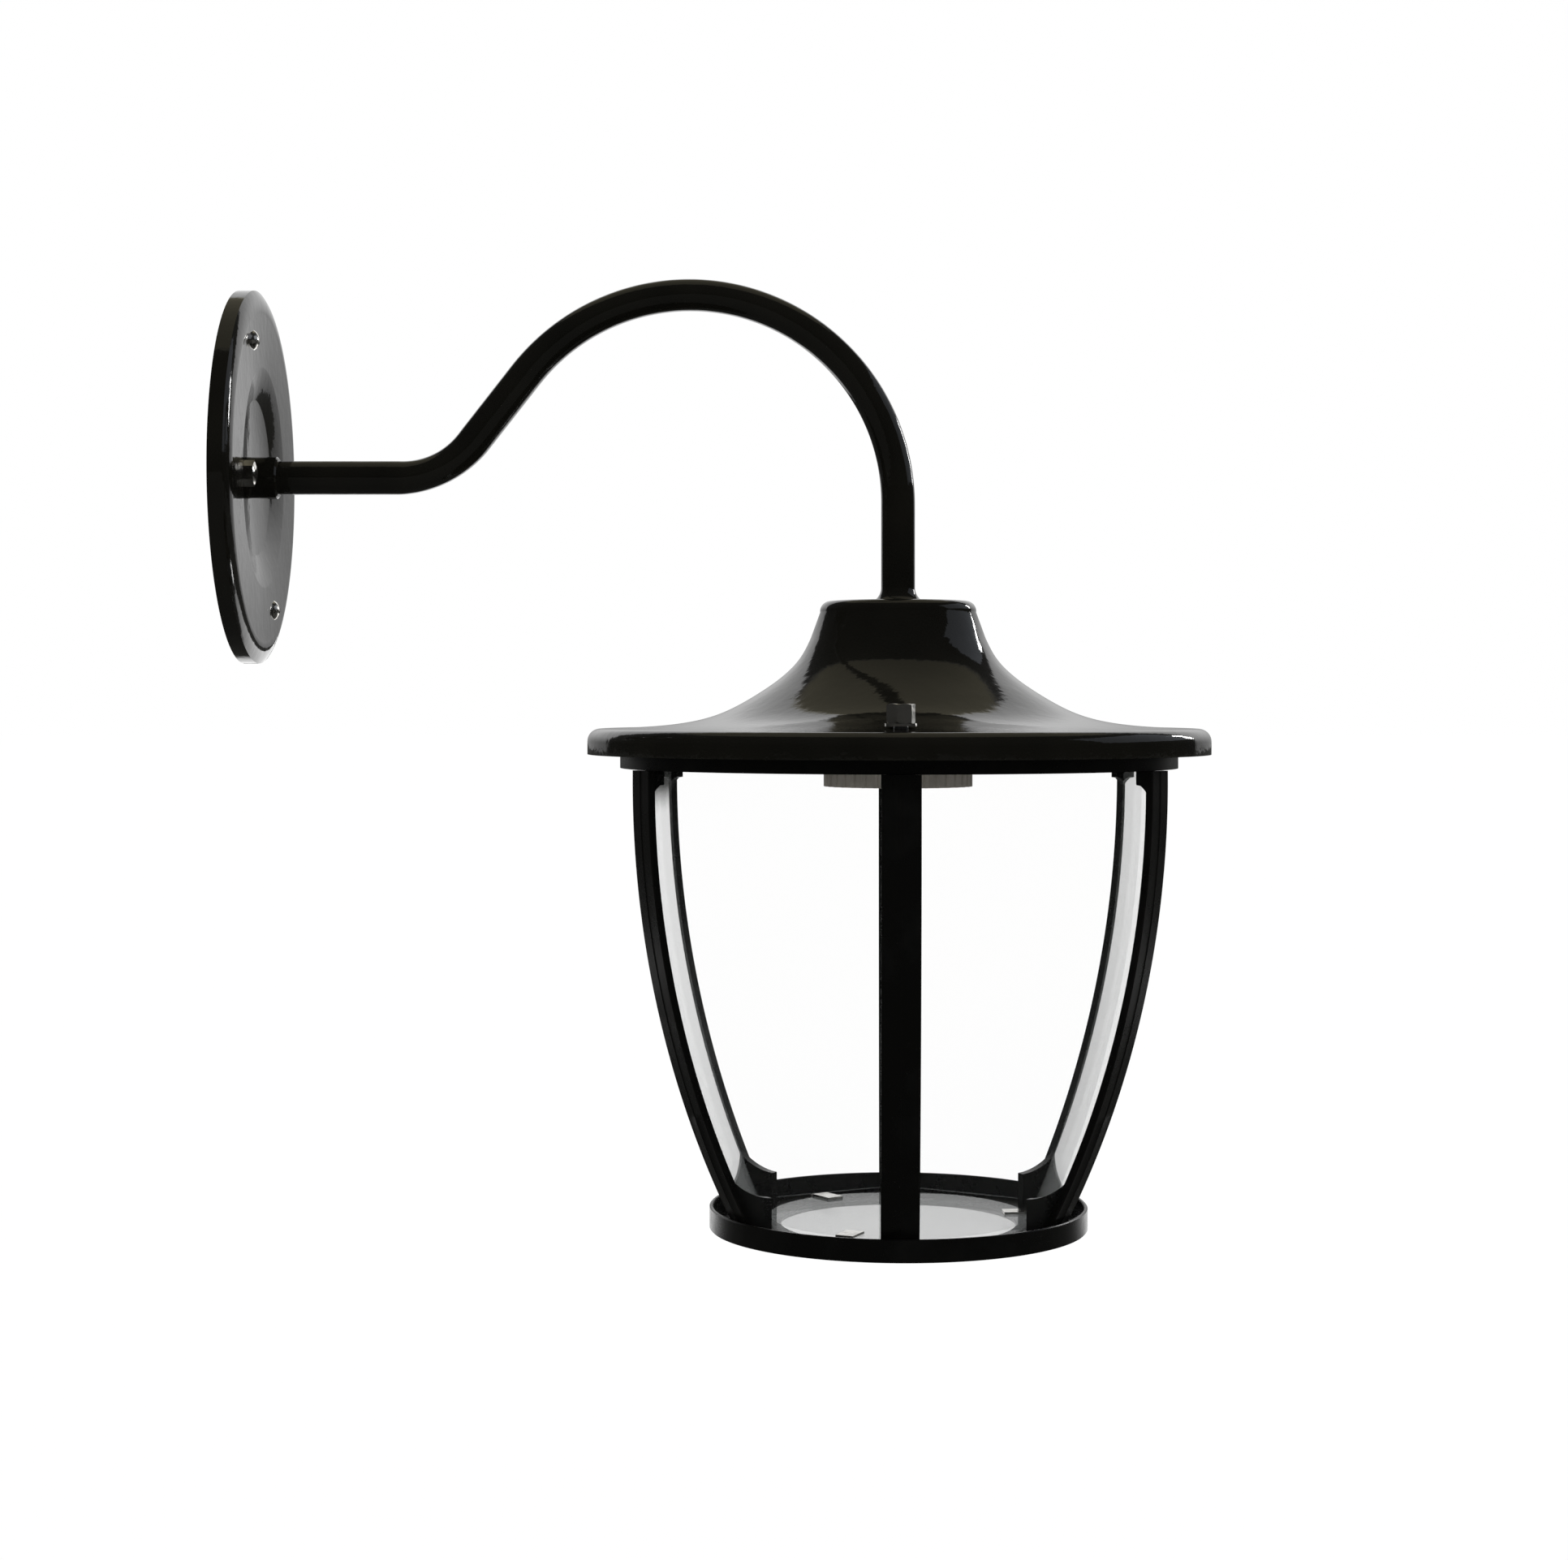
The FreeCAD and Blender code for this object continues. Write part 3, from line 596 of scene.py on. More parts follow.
@dataclass
class WallPlate:
    """The pressed plate on the wall: a turned edge, a flat ring and a sunk middle."""

    radius: float = 82.3
    sheet: float = 1.5
    edge: float = 6.5
    edge_split: float = 0.5
    crest: float = 9.0
    crest_radius: float = 72.0
    roll_bulge: float = 0.2
    lip: float = 8.8
    lip_radius: float = 49.0
    middle: float = 5.0
    middle_radius: float = 34.0
    dish_bulge: float = 0.3
    hole_radius: float = 7.6
    roll_steps: int = 12
    dish_steps: int = 24
    segments: int = 128

    def front_profile(self) -> list[Pair]:
        """Return the plate's front skin from the wall edge to the arm's hole.

        Returns:
            Radius and distance from the wall of each point.
        """
        roll_mid = (
            (self.radius + self.crest_radius) / 2 + (self.radius - self.crest_radius) * self.roll_bulge,
            (self.edge + self.crest) / 2 + (self.crest - self.edge) * self.roll_bulge,
        )
        roll = arc_points((self.radius, self.edge), roll_mid,
                          (self.crest_radius, self.crest), self.roll_steps)
        dish_mid = ((self.lip_radius + self.middle_radius) / 2,
                    (self.lip + self.middle) / 2 + self.dish_bulge)
        dish = arc_points((self.lip_radius, self.lip), dish_mid,
                          (self.middle_radius, self.middle), self.dish_steps)
        wall = [(self.radius, 0.0), (self.radius, self.edge * self.edge_split)]
        return wall + roll + dish + [(self.hole_radius, self.middle)]

    def build(self, finishes: Finishes) -> None:
        """Turn the plate and dress it.

        Args:
            finishes: the material of each slot.
        """
        front = self.front_profile()
        inside = self.radius - self.sheet
        back = [(min(radius, inside), max(away - self.sheet, 0.0)) for radius, away in front]
        back[0] = (inside, 0.0)
        plate = lathe("wall_plate_skin", front + back[::-1], about_arm, self.segments)
        dress(plate, finishes, Slot.ENAMEL, "wall_plate")


@dataclass
class SwanNeckArm:
    """The arm: one tube, bent up, over and down, a little flattened where it is bent."""

    radius: float = 7.5
    wall: float = 1.5
    back: float = 0.5
    climb_deg: float = 52.0
    low_bend: float = 42.0
    top_bend: float = 92.4
    drop_z: float = -11.3
    end_z: float = -71.7
    flattening: float = 0.06
    bend_steps: int = 60
    run_steps: int = 10
    around: int = 40

    def stations(self) -> list[Station]:
        """Return stations along the centre line, from the wall to the hood.

        Returns:
            Each station's X and Z, the slope there, and how far the tube is bent.
        """
        climb = math.radians(self.climb_deg)
        top_x = LAMP_X - self.top_bend
        top_start = (top_x - self.top_bend * math.sin(climb), self.drop_z + self.top_bend * math.cos(climb))
        corner_x = top_start[0] - top_start[1] / math.tan(climb)
        low_x = corner_x - self.low_bend * math.tan(climb / 2)
        low_end = (low_x + self.low_bend * math.sin(climb), self.low_bend * (1 - math.cos(climb)))
        line: list[Station] = []
        for step in range(self.run_steps):
            line.append(((self.back + (low_x - self.back) * step / self.run_steps, 0.0), 0.0, 0.0))
        for step in range(self.bend_steps):
            turn = climb * step / self.bend_steps
            spot = (low_x + self.low_bend * math.sin(turn), self.low_bend * (1 - math.cos(turn)))
            line.append((spot, turn, math.sin(math.pi * step / self.bend_steps)))
        for step in range(self.run_steps):
            share = step / self.run_steps
            spot = (low_end[0] + (top_start[0] - low_end[0]) * share,
                    low_end[1] + (top_start[1] - low_end[1]) * share)
            line.append((spot, climb, 0.0))
        for step in range(2 * self.bend_steps):
            share = step / (2 * self.bend_steps)
            turn = climb - (climb + math.pi / 2) * share
            spot = (top_x - self.top_bend * math.sin(turn), self.drop_z + self.top_bend * math.cos(turn))
            line.append((spot, turn, math.sin(math.pi * share)))
        for step in range(self.run_steps + 1):
            height = self.drop_z + (self.end_z - self.drop_z) * step / self.run_steps
            line.append(((LAMP_X, height), -math.pi / 2, 0.0))
        return line

    def ring(self, station: Station, radius: float) -> list[Vector]:
        """Return the tube's section at a station.

        Args:
            station: the station on the centre line.
            radius: the section's radius where it isn't flattened.

        Returns:
            The section's points in metres.
        """
        (along, height), slope, bent = station
        inward = radius * (1 - self.flattening * bent)
        points = []
        for step in range(self.around):
            angle = 2 * math.pi * step / self.around
            side = radius * math.cos(angle)
            rise = inward * math.sin(angle)
            spot = Vector((along - rise * math.sin(slope), side, height + rise * math.cos(slope)))
            points.append(spot * MM)
        return points

    def build(self, finishes: Finishes) -> None:
        """Skin the tube inside and out, and dress it.

        Args:
            finishes: the material of each slot.
        """
        built = bmesh.new()
        line = self.stations()
        outer = skin([self.ring(station, self.radius) for station in line], built)
        inner = skin([self.ring(station, self.radius - self.wall) for station in line], built)
        for outside, inside in ((outer[0], inner[0]), (outer[-1], inner[-1])):
            for index in range(self.around):
                after = (index + 1) % self.around
                built.faces.new((outside[index], outside[after], inside[after], inside[index]))
        dress(finish_mesh("arm_tube_skin", built), finishes, Slot.ENAMEL, "arm_tube")


@dataclass
class Hood:
    """The spun hood: flat top, sloping neck, long flare, skirt and rolled rim."""

    top_z: float = -54.7
    sheet: float = 1.5
    hole_radius: float = 7.6
    flat_radius: float = 20.0
    top_radius: float = 30.0
    shoulder_drop: float = 5.0
    shoulder_shares: Pair = (0.72, 0.26)
    neck_radius: float = 34.6
    neck_foot: Pair = (38.7, 16.3)
    flare: tuple[Pair, ...] = ((43.2, 24.8), (50.2, 32.4), (62.5, 41.2), (80.0, 50.2), (100.0, 54.6))
    skirt: Pair = (129.0, 56.4)
    rim_radius: float = 137.5
    rim_roll: float = 5.5
    rim_drop: float = 67.6
    curve_steps: int = 10
    segments: int = 192

    def outer_profile(self) -> list[Pair]:
        """Return the outer skin from the arm's hole to the rim's lower edge.

        Returns:
            Radius and drop of each point.
        """
        top = [(self.hole_radius, 0.0), (self.flat_radius, 0.0)]
        shoulder_mid = (self.top_radius + (self.neck_radius - self.top_radius) * self.shoulder_shares[0],
                        self.shoulder_drop * self.shoulder_shares[1])
        shoulder = arc_points((self.top_radius, 0.0), shoulder_mid,
                              (self.neck_radius, self.shoulder_drop), self.curve_steps)
        flare = smooth_points((self.neck_foot,) + self.flare + (self.skirt,), self.curve_steps)
        roll_start = (self.rim_radius - self.rim_roll, self.skirt[1])
        roll_mid = (roll_start[0] + self.rim_roll * math.sin(math.pi / 4),
                    roll_start[1] + self.rim_roll * (1 - math.cos(math.pi / 4)))
        roll_end = (self.rim_radius, self.skirt[1] + self.rim_roll)
        roll = arc_points(roll_start, roll_mid, roll_end, self.curve_steps)
        return top + shoulder + flare + roll + [(self.rim_radius, self.rim_drop)]

    def build(self, finishes: Finishes) -> None:
        """Turn the hood and dress it.

        Args:
            finishes: the material of each slot.
        """
        outer = [(radius, self.top_z - drop) for radius, drop in self.outer_profile()]
        inner = inset_points(outer, self.sheet)
        inner[0] = (self.hole_radius, self.top_z - self.sheet)
        inner[-1] = (self.rim_radius - self.sheet, self.top_z - self.rim_drop)
        hood = lathe("hood_skin", outer + inner[::-1], about_lantern, self.segments)
        dress(hood, finishes, Slot.ENAMEL, "hood")


@dataclass
class Lantern:
    """The lantern's bowed ribs, each a strip with a web behind it, its bent panes and its round tray."""

    ribs: int = 6
    top_z: float = -128.3
    floor_z: float = -329.7
    top_radius: float = 126.4
    foot_radius: float = 76.2
    bow: float = 412.0
    thickness: float = 3.0
    width: float = 16.2
    web: float = 4.0
    seam_width: float = 0.9
    seam_height: float = 0.3
    ledge_slope: float = 0.3
    foot_depth: float = 10.2
    foot_edge: float = 16.0
    foot_step: float = 2.5
    foot_sweep: float = 21.0
    head_depth: float = 10.3
    head_edge: float = 6.0
    head_step: float = 2.0
    head_sweep: float = 11.0
    sweep_share: float = 0.64
    ease: float = 0.5
    pane_gap: float = 0.3
    pane_thickness: float = 2.0
    pane_lift: float = 3.2
    tray_radius: float = 83.6
    tray_wall: float = 1.7
    tray_height: float = 9.8
    tray_floor: float = 2.0
    tray_hole: float = 52.0
    tray_ease: float = 0.425
    tray_segments: int = 160
    bow_steps: int = 40
    sweep_steps: int = 14

    @property
    def foot_end(self) -> float:
        """Return the height where the foot's sweep ends."""
        return self.floor_z + self.foot_edge + self.foot_sweep

    @property
    def head_end(self) -> float:
        """Return the height where the head's sweep ends."""
        return self.top_z - self.head_edge - self.head_sweep

    def bow_radius(self, height: float, inset: float) -> float:
        """Return the radius of the ribs' bow at a height, moved in square to itself.

        Args:
            height: the height.
            inset: how far the bow is moved in.

        Returns:
            The radius about the lantern's axis.
        """
        rise = self.top_z - self.floor_z
        spread = self.top_radius - self.foot_radius
        chord = math.hypot(rise, spread)
        inward = math.sqrt(self.bow ** 2 - (chord / 2) ** 2)
        centre_r = (self.top_radius + self.foot_radius) / 2 - inward * rise / chord
        centre_z = (self.top_z + self.floor_z) / 2 + inward * spread / chord
        return centre_r + math.sqrt((self.bow - inset) ** 2 - (height - centre_z) ** 2)

    def heights(self, low: float, high: float) -> list[float]:
        """Return even heights from low to high, both included."""
        return [low + (high - low) * step / self.bow_steps for step in range(self.bow_steps + 1)]

    def sweep(self, step: Pair, end: Pair) -> list[Pair]:
        """Return the hollow curve from the step of a foot or head to the strip's back.

        Args:
            step: the point on the step.
            end: the point on the strip's back.

        Returns:
            The curve's points, as radius and height.
        """
        middle = (step[0] + (end[0] - step[0]) * self.sweep_share,
                  step[1] + (end[1] - step[1]) * (1 - self.sweep_share))
        return arc_points(step, middle, end, self.sweep_steps)

    def web_line(self) -> list[Pair]:
        """Return the web's inner line from the tray's floor to the ring.

        Returns:
            The line's points, as radius and height.
        """
        foot_r = self.bow_radius(self.floor_z, self.foot_depth)
        foot_top = self.floor_z + self.foot_edge
        head_r = self.bow_radius(self.top_z, self.head_depth)
        head_low = self.top_z - self.head_edge
        foot_step = (foot_r + self.foot_step, foot_top + self.ledge_slope)
        head_step = (head_r + self.head_step, head_low - self.ledge_slope)
        back = [(self.bow_radius(height, self.thickness), height)
                for height in self.heights(self.foot_end, self.head_end)]
        line = [(foot_r, self.floor_z), (foot_r, foot_top)]
        line += self.sweep(foot_step, back[0]) + back[1:-1] + self.sweep(head_step, back[-1])[::-1]
        return line + [(head_r, head_low), (head_r, self.top_z)]

    def rib_section(self, web_r: float, height: float) -> list[Pair]:
        """Return a rib's level section: a strip with eased corners and a seam, and the web behind it.

        Args:
            web_r: the radius of the web's inner edge at that height.
            height: the height of the section.

        Returns:
            The section's points, as a radius and a distance aside.
        """
        face = self.bow_radius(height, 0.0)
        back = self.bow_radius(height, self.thickness)
        half = self.width / 2
        side = self.web / 2
        seam = self.seam_width / 2
        return [
            (face - self.ease, -half), (face, self.ease - half),
            (face, -seam), (face + self.seam_height, 0.0), (face, seam),
            (face, half - self.ease), (face - self.ease, half),
            (back, half), (back, side), (min(web_r, back), side),
            (min(web_r, back), -side), (back, -side), (back, -half),
        ]

    def pane_section(self, height: float) -> list[Pair]:
        """Return a pane's level section, flat between the webs of two ribs.

        Args:
            height: the height of the section.

        Returns:
            The section's corners, as a distance outward and a distance aside.
        """
        half_turn = math.pi / self.ribs
        edge_r = self.bow_radius(height, self.thickness + self.pane_gap)
        webbed = height < self.foot_end or height > self.head_end
        edge_aside = self.pane_gap + (self.web / 2 if webbed else 0.0)
        reach = edge_r * math.cos(half_turn) + self.pane_gap * math.sin(half_turn)
        half = (reach * math.sin(half_turn) - edge_aside) / math.cos(half_turn)
        inner = reach - self.pane_thickness
        inner_half = (inner * math.sin(half_turn) - edge_aside) / math.cos(half_turn)
        return [(reach, half), (reach, -half), (inner, -inner_half), (inner, inner_half)]

    def level_ring(self, turn: float, height: float, section: Sequence[Pair]) -> list[Vector]:
        """Place a level section at its turn about the lantern's axis.

        Args:
            turn: the section's turn from the first rib, in ribs.
            height: the height of the section.
            section: its points, as a distance outward and a distance aside.

        Returns:
            The points in metres.
        """
        angle = math.radians(FRONT_DEG + 360.0 / self.ribs * turn)
        outward = Vector((math.cos(angle), math.sin(angle), 0.0))
        aside = Vector((-math.sin(angle), math.cos(angle), 0.0))
        middle = Vector((LAMP_X, 0.0, height))
        return [(middle + outward * away + aside * side) * MM for away, side in section]

    def build_rib(self, index: int, finishes: Finishes) -> None:
        """Make one rib from its level sections and dress it.

        Args:
            index: the rib's number, from 0.
            finishes: the material of each slot.
        """
        name = f"rib_{index + 1}"
        rings = [self.level_ring(index, height, self.rib_section(web_r, height))
                 for web_r, height in self.web_line()]
        dress(bar(f"{name}_bar", rings), finishes, Slot.PAINT, name)

    def build_pane(self, index: int, finishes: Finishes) -> None:
        """Make the pane that follows one rib, bent along the bow, and dress it.

        Args:
            index: the rib's number, from 0.
            finishes: the material of each slot.
        """
        name = f"pane_{index + 1}"
        rings = [self.level_ring(index + 0.5, height, self.pane_section(height))
                 for height in self.heights(self.floor_z + self.pane_lift, self.top_z)]
        dress(bar(f"{name}_sheet", rings), finishes, Slot.CLEAR, name)

    def build_tray(self, finishes: Finishes) -> None:
        """Turn the tray with eased edges and dress it.

        Args:
            finishes: the material of each slot.
        """
        low = self.floor_z - self.tray_floor
        high = low + self.tray_height
        ease = self.tray_ease
        inside = self.tray_radius - self.tray_wall
        profile = [
            (self.tray_hole, low + ease), (self.tray_hole + ease, low),
            (self.tray_radius - ease, low), (self.tray_radius, low + ease),
            (self.tray_radius, high - ease), (self.tray_radius - ease, high),
            (inside + ease, high), (inside, high - ease), (inside, self.floor_z),
            (self.tray_hole + ease, self.floor_z), (self.tray_hole, self.floor_z - ease),
        ]
        tray = lathe("bottom_tray_ring", profile, about_lantern, self.tray_segments)
        dress(tray, finishes, Slot.PAINT, "bottom_tray")

    def build(self, finishes: Finishes) -> None:
        """Make the ribs, the panes and the tray.

        Args:
            finishes: the material of each slot.
        """
        for index in range(self.ribs):
            self.build_rib(index, finishes)
            self.build_pane(index, finishes)
        self.build_tray(finishes)


@dataclass
class HoodNuts:
    """The two bright nuts on the hood's skirt, chamfered at the corners and dished at the top."""

    reach: float = 105.0
    sides: int = 6
    flats: float = 10.6
    height: float = 8.0
    dish_radius: float = 4.0
    dish: float = 1.6
    bore: float = 3.0
    chamfer_deg: float = 30.0
    turn_deg: float = 14.0
    around: int = 72

    def rings(self, centre: Vector, low: float) -> list[list[Vector]]:
        """Return one nut's rings, from its foot over the top and down its bore.

        Args:
            centre: the nut's axis, in millimetres.
            low: the height of its foot.

        Returns:
            Rings of points in metres.
        """
        half = self.flats / 2
        half_side = math.pi / self.sides
        slope = math.tan(math.radians(self.chamfer_deg))
        high = low + self.height
        inner = ((self.dish_radius, high), (self.bore, high - self.dish), (self.bore, low))
        columns = []
        for step in range(self.around):
            angle = 2 * math.pi * step / self.around
            turned = angle + math.radians(self.turn_deg)
            out = half / math.cos(angle % (2 * half_side) - half_side)
            fall = (out - half) * slope
            outer = ((half, low), (out, low + fall), (out, high - fall), (half, high))
            columns.append([
                (centre + Vector((radius * math.cos(turned), radius * math.sin(turned), height))) * MM
                for radius, height in outer + inner
            ])
        return [list(ring) for ring in zip(*columns)]

    def build(self, finishes: Finishes) -> None:
        """Make both nuts as one piece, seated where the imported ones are, and dress it.

        Args:
            finishes: the material of each slot.
        """
        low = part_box("hood_nuts")[0][2] / MM
        built = bmesh.new()
        for turn in (0.0, 180.0):
            angle = math.radians(FRONT_DEG + turn)
            centre = Vector((LAMP_X + self.reach * math.cos(angle), self.reach * math.sin(angle), 0.0))
            skin(self.rings(centre, low), built, closed=True)
        dress(finish_mesh("hood_nuts_chamfered", built), finishes, Slot.BRIGHT, "hood_nuts")


@dataclass
class CarriedNodes:
    """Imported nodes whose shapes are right, which only take a finish."""

    slots: dict[str, Slot] = field(default_factory=lambda: {
        "arm_collar": Slot.ENAMEL,
        "hood_ferrule": Slot.ENAMEL,
        "top_ring": Slot.PAINT,
        "wall_studs": Slot.ZINC,
        "arm_lock_ring": Slot.ZINC,
        "hood_lock_washer": Slot.ZINC,
        "hood_lock_nut": Slot.ZINC,
        "hood_bolts": Slot.ZINC,
        "wall_nuts": Slot.BRIGHT,
        "wall_screws": Slot.BRIGHT,
        "hood_washers": Slot.BRIGHT,
        "pane_clips": Slot.BRIGHT,
        "clip_screws": Slot.BRIGHT,
        "bottom_pane": Slot.CLEAR,
        "lamp_cap": Slot.HOLDER,
        "lamp_ring": Slot.GREY,
        "lamp_body": Slot.CERAMIC,
        "socket_sleeve": Slot.BRASS,
        "socket_contact": Slot.BRASS,
    })

    def build(self, finishes: Finishes) -> None:
        """Give each carried node its finish.

        Args:
            finishes: the material of each slot.
        """
        for name, slot in self.slots.items():
            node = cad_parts[name]
            node.data.materials.clear()
            node.data.materials.append(finishes[slot])
            LOG.info("%s carried with %s", name, slot.value)


@dataclass(frozen=True)
class SoftBox:
    """A soft box of the studio, with its place and size in millimetres."""

    name: str
    place: Point
    size: Pair
    watts: float
    colour: str = WHITE

    def build(self, aim: Point) -> None:
        """Add the lamp, facing a point.

        Args:
            aim: the point that it faces, in millimetres.
        """
        data = bpy.data.lights.new(self.name, "AREA")
        data.shape = "RECTANGLE"
        data.size = self.size[0] * MM
        data.size_y = self.size[1] * MM
        data.energy = self.watts
        data.color = linear(self.colour)[:3]
        lamp = bpy.data.objects.new(self.name, data)
        lamp.location = Vector(self.place) * MM
        facing = Vector(aim) * MM - lamp.location
        lamp.rotation_euler = facing.to_track_quat("-Z", "Y").to_euler()
        bpy.context.scene.collection.objects.link(lamp)


@dataclass
class Studio:
    """The pale floor, the soft light and the camera at the photograph's view."""

    image_width: int = 1932
    image_height: int = 1922
    horizon_row: int = 860
    focal_px: float = 3472.0
    sensor: float = 36.0
    camera_x: float = 239.4
    camera_away: float = 1250.0
    camera_z: float = -97.6
    floor_z: float = -520.0
    floor_reach: float = 30000.0
    pale: str = "#b4b4b1"
    dim: str = "#4a4a48"
    white_level: float = 1.05
    white_share: float = 0.93
    paper_level: float = 1.6
    paper_x: float = 300.0
    paper_half: float = 1000.0
    paper_start: float = 700.0
    paper_fade: float = 200.0
    wall_levels: tuple[Pair, ...] = ((0.0, 0.012), (0.4, 0.03), (0.70, 0.05), (0.73, 1.0))
    low_band: Pair = (-0.08, 0.3)
    low_share: float = 0.28
    ceiling_lean: float = 0.35
    ceiling_band: Pair = (0.88, 0.92)
    ceiling_level: float = 0.26
    ceiling_tint: str = "#fff6d6"
    soft_level: float = 0.85
    aim: Point = (220.0, 0.0, -130.0)
    lamps: tuple[SoftBox, ...] = (
        SoftBox("right_panel", (1900.0, 350.0, 750.0), (1800.0, 1000.0), 2.2, "#dfe6f2"),
        SoftBox("right_strip_box", (1500.0, 1060.0, 432.0), (80.0, 420.0), 3.0),
    )

    def add_camera(self) -> None:
        """Add the level camera, shifted down to the photograph's framing."""
        data = bpy.data.cameras.new("photo_camera")
        data.sensor_width = self.sensor
        data.lens = self.focal_px / self.image_width * self.sensor
        data.shift_y = (self.horizon_row - self.image_height / 2) / self.image_width
        camera = bpy.data.objects.new("photo_camera", data)
        camera.location = Vector((self.camera_x, -self.camera_away, self.camera_z)) * MM
        camera.rotation_euler = (math.pi / 2, 0.0, 0.0)
        bpy.context.scene.collection.objects.link(camera)
        bpy.context.scene.camera = camera

    def add_floor(self) -> None:
        """Add the floor, which shows white, keeps a faint shadow and is mirrored as a sheet of paper."""
        built = bmesh.new()
        reach = self.floor_reach
        corners = ((-reach, -reach), (reach, -reach), (reach, reach), (-reach, reach))
        built.faces.new([built.verts.new(Vector((x, y, self.floor_z)) * MM) for x, y in corners])
        floor = finish_mesh("floor", built)
        material, tree, place = new_tree("pale_floor")
        split = add_node(tree, "ShaderNodeSeparateXYZ", {0: place})
        off = add_node(tree, "ShaderNodeMath", {0: split.outputs["X"], 1: self.paper_x * MM},
                       operation="SUBTRACT")
        aside = add_node(tree, "ShaderNodeMath", {0: off.outputs[0]}, operation="ABSOLUTE")
        beside = add_node(tree, "ShaderNodeMapRange",
                          {"Value": aside.outputs[0], "From Min": self.paper_half * MM,
                           "From Max": (self.paper_half + self.paper_fade) * MM,
                           "To Min": 1.0, "To Max": 0.0})
        behind = add_node(tree, "ShaderNodeMapRange",
                          {"Value": split.outputs["Y"], "From Min": self.paper_start * MM,
                           "From Max": (self.paper_start + self.paper_fade) * MM})
        paper = add_node(tree, "ShaderNodeMath", {0: beside.outputs[0], 1: behind.outputs[0]},
                         operation="MULTIPLY")
        path = add_node(tree, "ShaderNodeLightPath")
        glossy = path.outputs["Is Glossy Ray"]
        mirrored = add_node(tree, "ShaderNodeMath", {0: paper.outputs[0], 1: glossy}, operation="MULTIPLY")
        through = add_node(tree, "ShaderNodeMath",
                           {0: path.outputs["Is Camera Ray"], 1: path.outputs["Is Transmission Ray"]},
                           operation="MAXIMUM")
        seen = add_node(tree, "ShaderNodeMath", {0: mirrored.outputs[0], 1: through.outputs[0]},
                        operation="MAXIMUM")
        share = add_node(tree, "ShaderNodeMath", {0: seen.outputs[0], 1: self.white_share},
                         operation="MULTIPLY")
        tone = add_node(tree, "ShaderNodeMix", {0: glossy, 6: linear(self.pale), 7: linear(self.dim)},
                        data_type="RGBA")
        plain = add_node(tree, "ShaderNodeBsdfDiffuse", {"Color": tone.outputs[2]})
        glow = add_node(tree, "ShaderNodeMix", {0: glossy, 2: self.white_level, 3: self.paper_level},
                        data_type="FLOAT")
        white = add_node(tree, "ShaderNodeEmission", {"Color": linear(WHITE), "Strength": glow.outputs[0]})
        both = add_node(tree, "ShaderNodeMixShader",
                        {0: share.outputs[0], 1: plain.outputs[0], 2: white.outputs[0]})
        close_tree(tree, both)
        floor.data.materials.append(material)

    def add_world(self) -> None:
        """Add the surround: white behind, dark in front and warm above, as mirrored in the enamel."""
        world = bpy.data.worlds.new("white_surround")
        bpy.context.scene.world = world
        world.use_nodes = True
        tree = world.node_tree
        tree.nodes.clear()
        way = add_node(tree, "ShaderNodeTexCoord").outputs["Generated"]
        split = add_node(tree, "ShaderNodeSeparateXYZ", {0: way})
        depth = add_node(tree, "ShaderNodeValToRGB", {"Fac": split.outputs["Y"]})
        stops = depth.color_ramp.elements
        while len(stops) < len(self.wall_levels):
            stops.new(0.5)
        for stop, (place, level) in zip(stops, self.wall_levels):
            stop.position = place
            stop.color = (level, level, level, 1.0)
        path = add_node(tree, "ShaderNodeLightPath")
        glossy = path.outputs["Is Glossy Ray"]
        through = add_node(tree, "ShaderNodeMath",
                           {0: path.outputs["Is Camera Ray"], 1: path.outputs["Is Transmission Ray"]},
                           operation="MAXIMUM")
        above = add_node(tree, "ShaderNodeMapRange",
                         {"Value": split.outputs["Z"],
                          "From Min": self.low_band[0], "From Max": self.low_band[1],
                          "To Min": self.low_share, "To Max": 1.0}, interpolation_type="SMOOTHSTEP")
        lean = add_node(tree, "ShaderNodeMath",
                        {0: split.outputs["Y"], 1: self.ceiling_lean, 2: split.outputs["Z"]},
                        operation="MULTIPLY_ADD")
        ceiling = add_node(tree, "ShaderNodeMapRange",
                           {"Value": lean.outputs[0],
                            "From Min": self.ceiling_band[0], "From Max": self.ceiling_band[1]},
                           interpolation_type="SMOOTHSTEP")
        walls = add_node(tree, "ShaderNodeMath", {0: depth.outputs["Color"], 1: above.outputs[0]},
                         operation="MULTIPLY")
        room = add_node(tree, "ShaderNodeMix",
                        {0: ceiling.outputs[0], 2: walls.outputs[0], 3: self.ceiling_level},
                        data_type="FLOAT")
        plain = add_node(tree, "ShaderNodeMix", {0: glossy, 2: self.soft_level, 3: room.outputs[0]},
                         data_type="FLOAT")
        level = add_node(tree, "ShaderNodeMix", {0: through.outputs[0], 2: plain.outputs[0], 3: 1.0},
                         data_type="FLOAT")
        warm = add_node(tree, "ShaderNodeMath", {0: ceiling.outputs[0], 1: glossy}, operation="MULTIPLY")
        tint = add_node(tree, "ShaderNodeMix",
                        {0: warm.outputs[0], 6: linear(WHITE), 7: linear(self.ceiling_tint)},
                        data_type="RGBA")
        light = add_node(tree, "ShaderNodeBackground",
                         {"Color": tint.outputs[2], "Strength": level.outputs[0]})
        add_node(tree, "ShaderNodeOutputWorld", {"Surface": light.outputs[0]})

    def build(self) -> None:
        """Set up the floor, the light and the camera."""
        bpy.context.scene.view_settings.view_transform = "Standard"
        self.add_world()
        self.add_floor()
        for lamp in self.lamps:
            lamp.build(self.aim)
        self.add_camera()


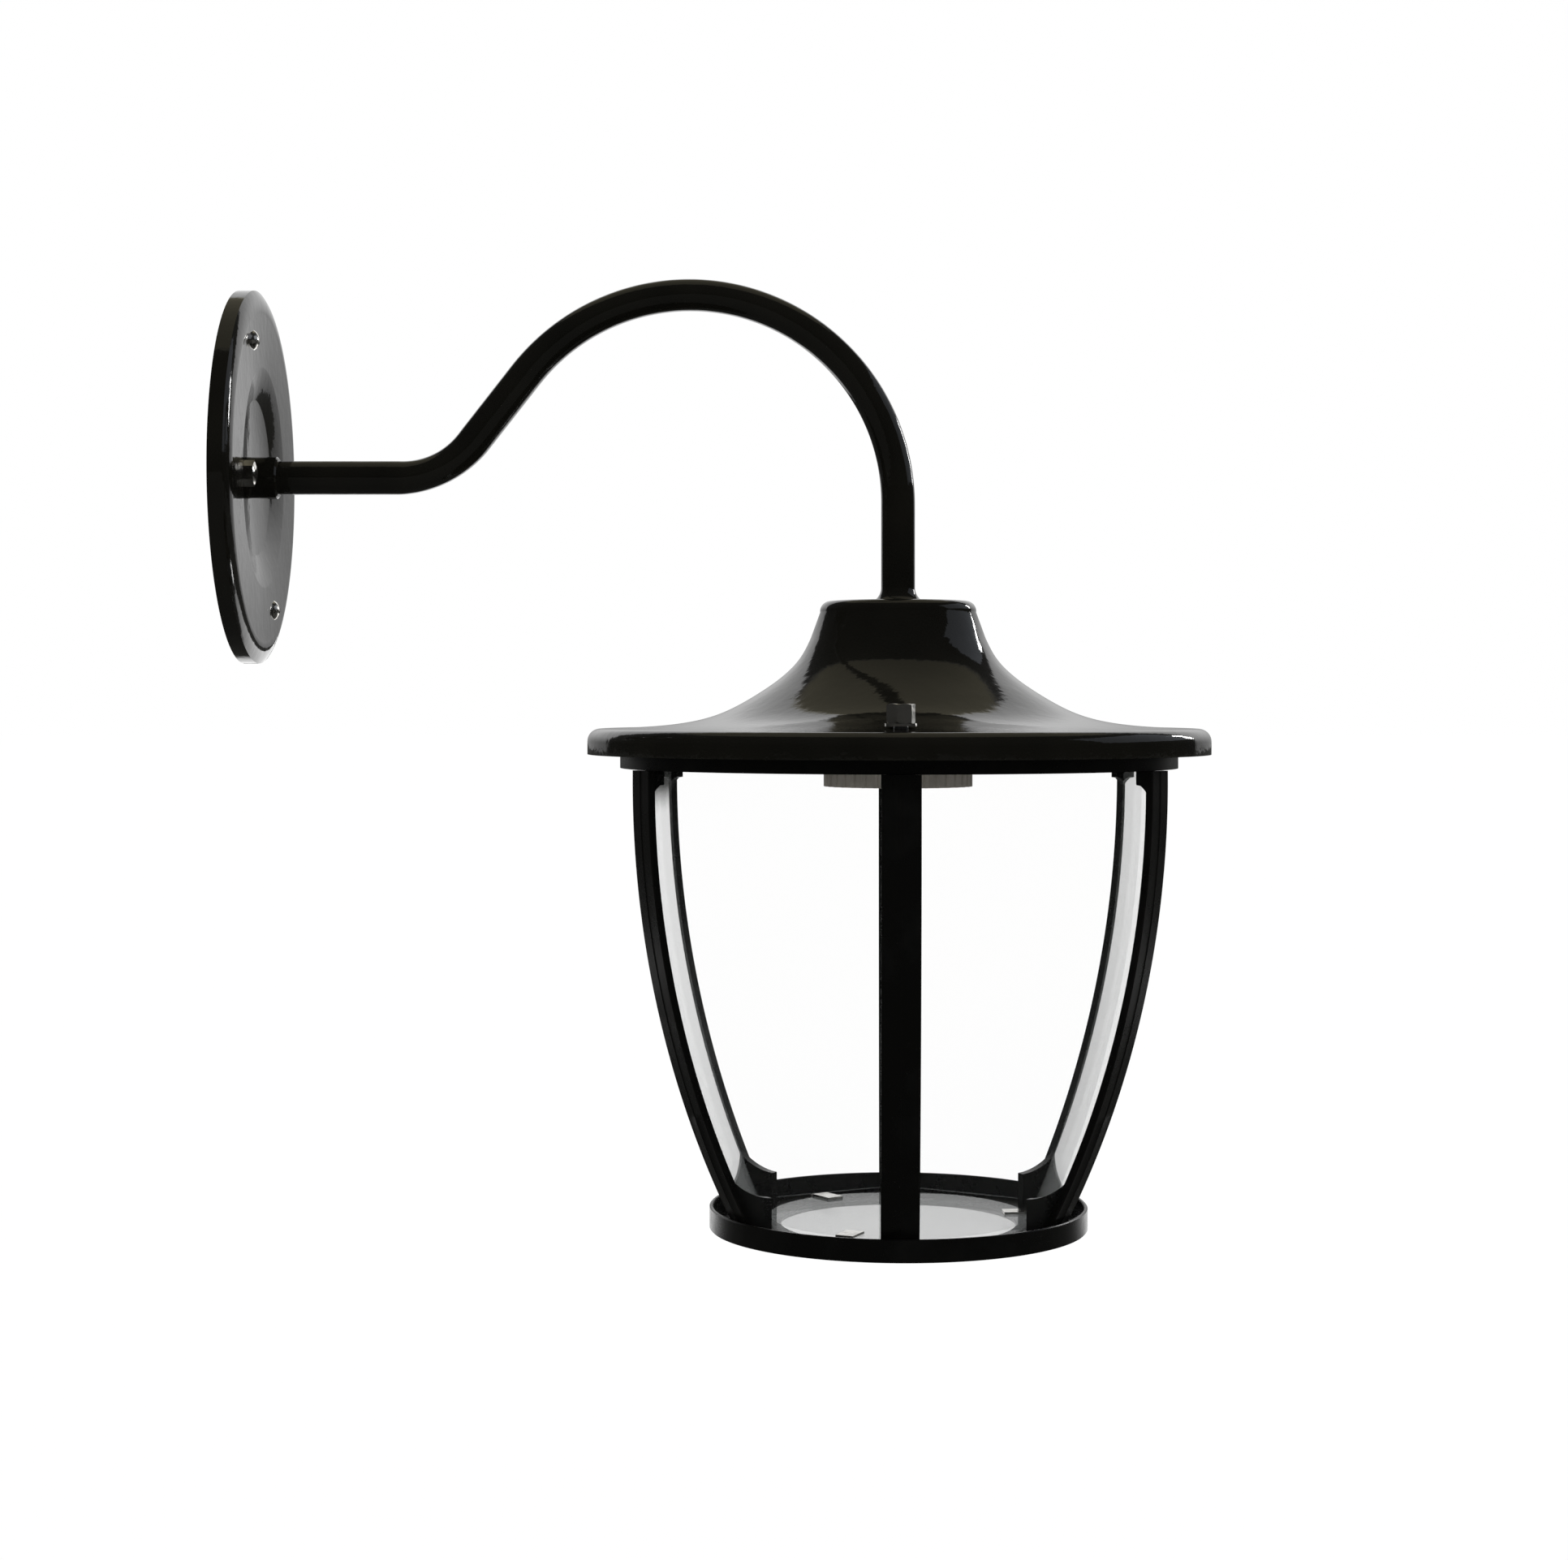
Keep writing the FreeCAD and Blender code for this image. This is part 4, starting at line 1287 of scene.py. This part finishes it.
def main() -> None:
    """Build the light's looks and its studio."""
    logging.basicConfig(level=logging.INFO)
    finishes = all_finishes()
    for assembly in (WallPlate(), SwanNeckArm(), Hood(), HoodNuts(), Lantern(), CarriedNodes()):
        assembly.build(finishes)
    Studio().build()


if __name__ == "__main__":
    main()
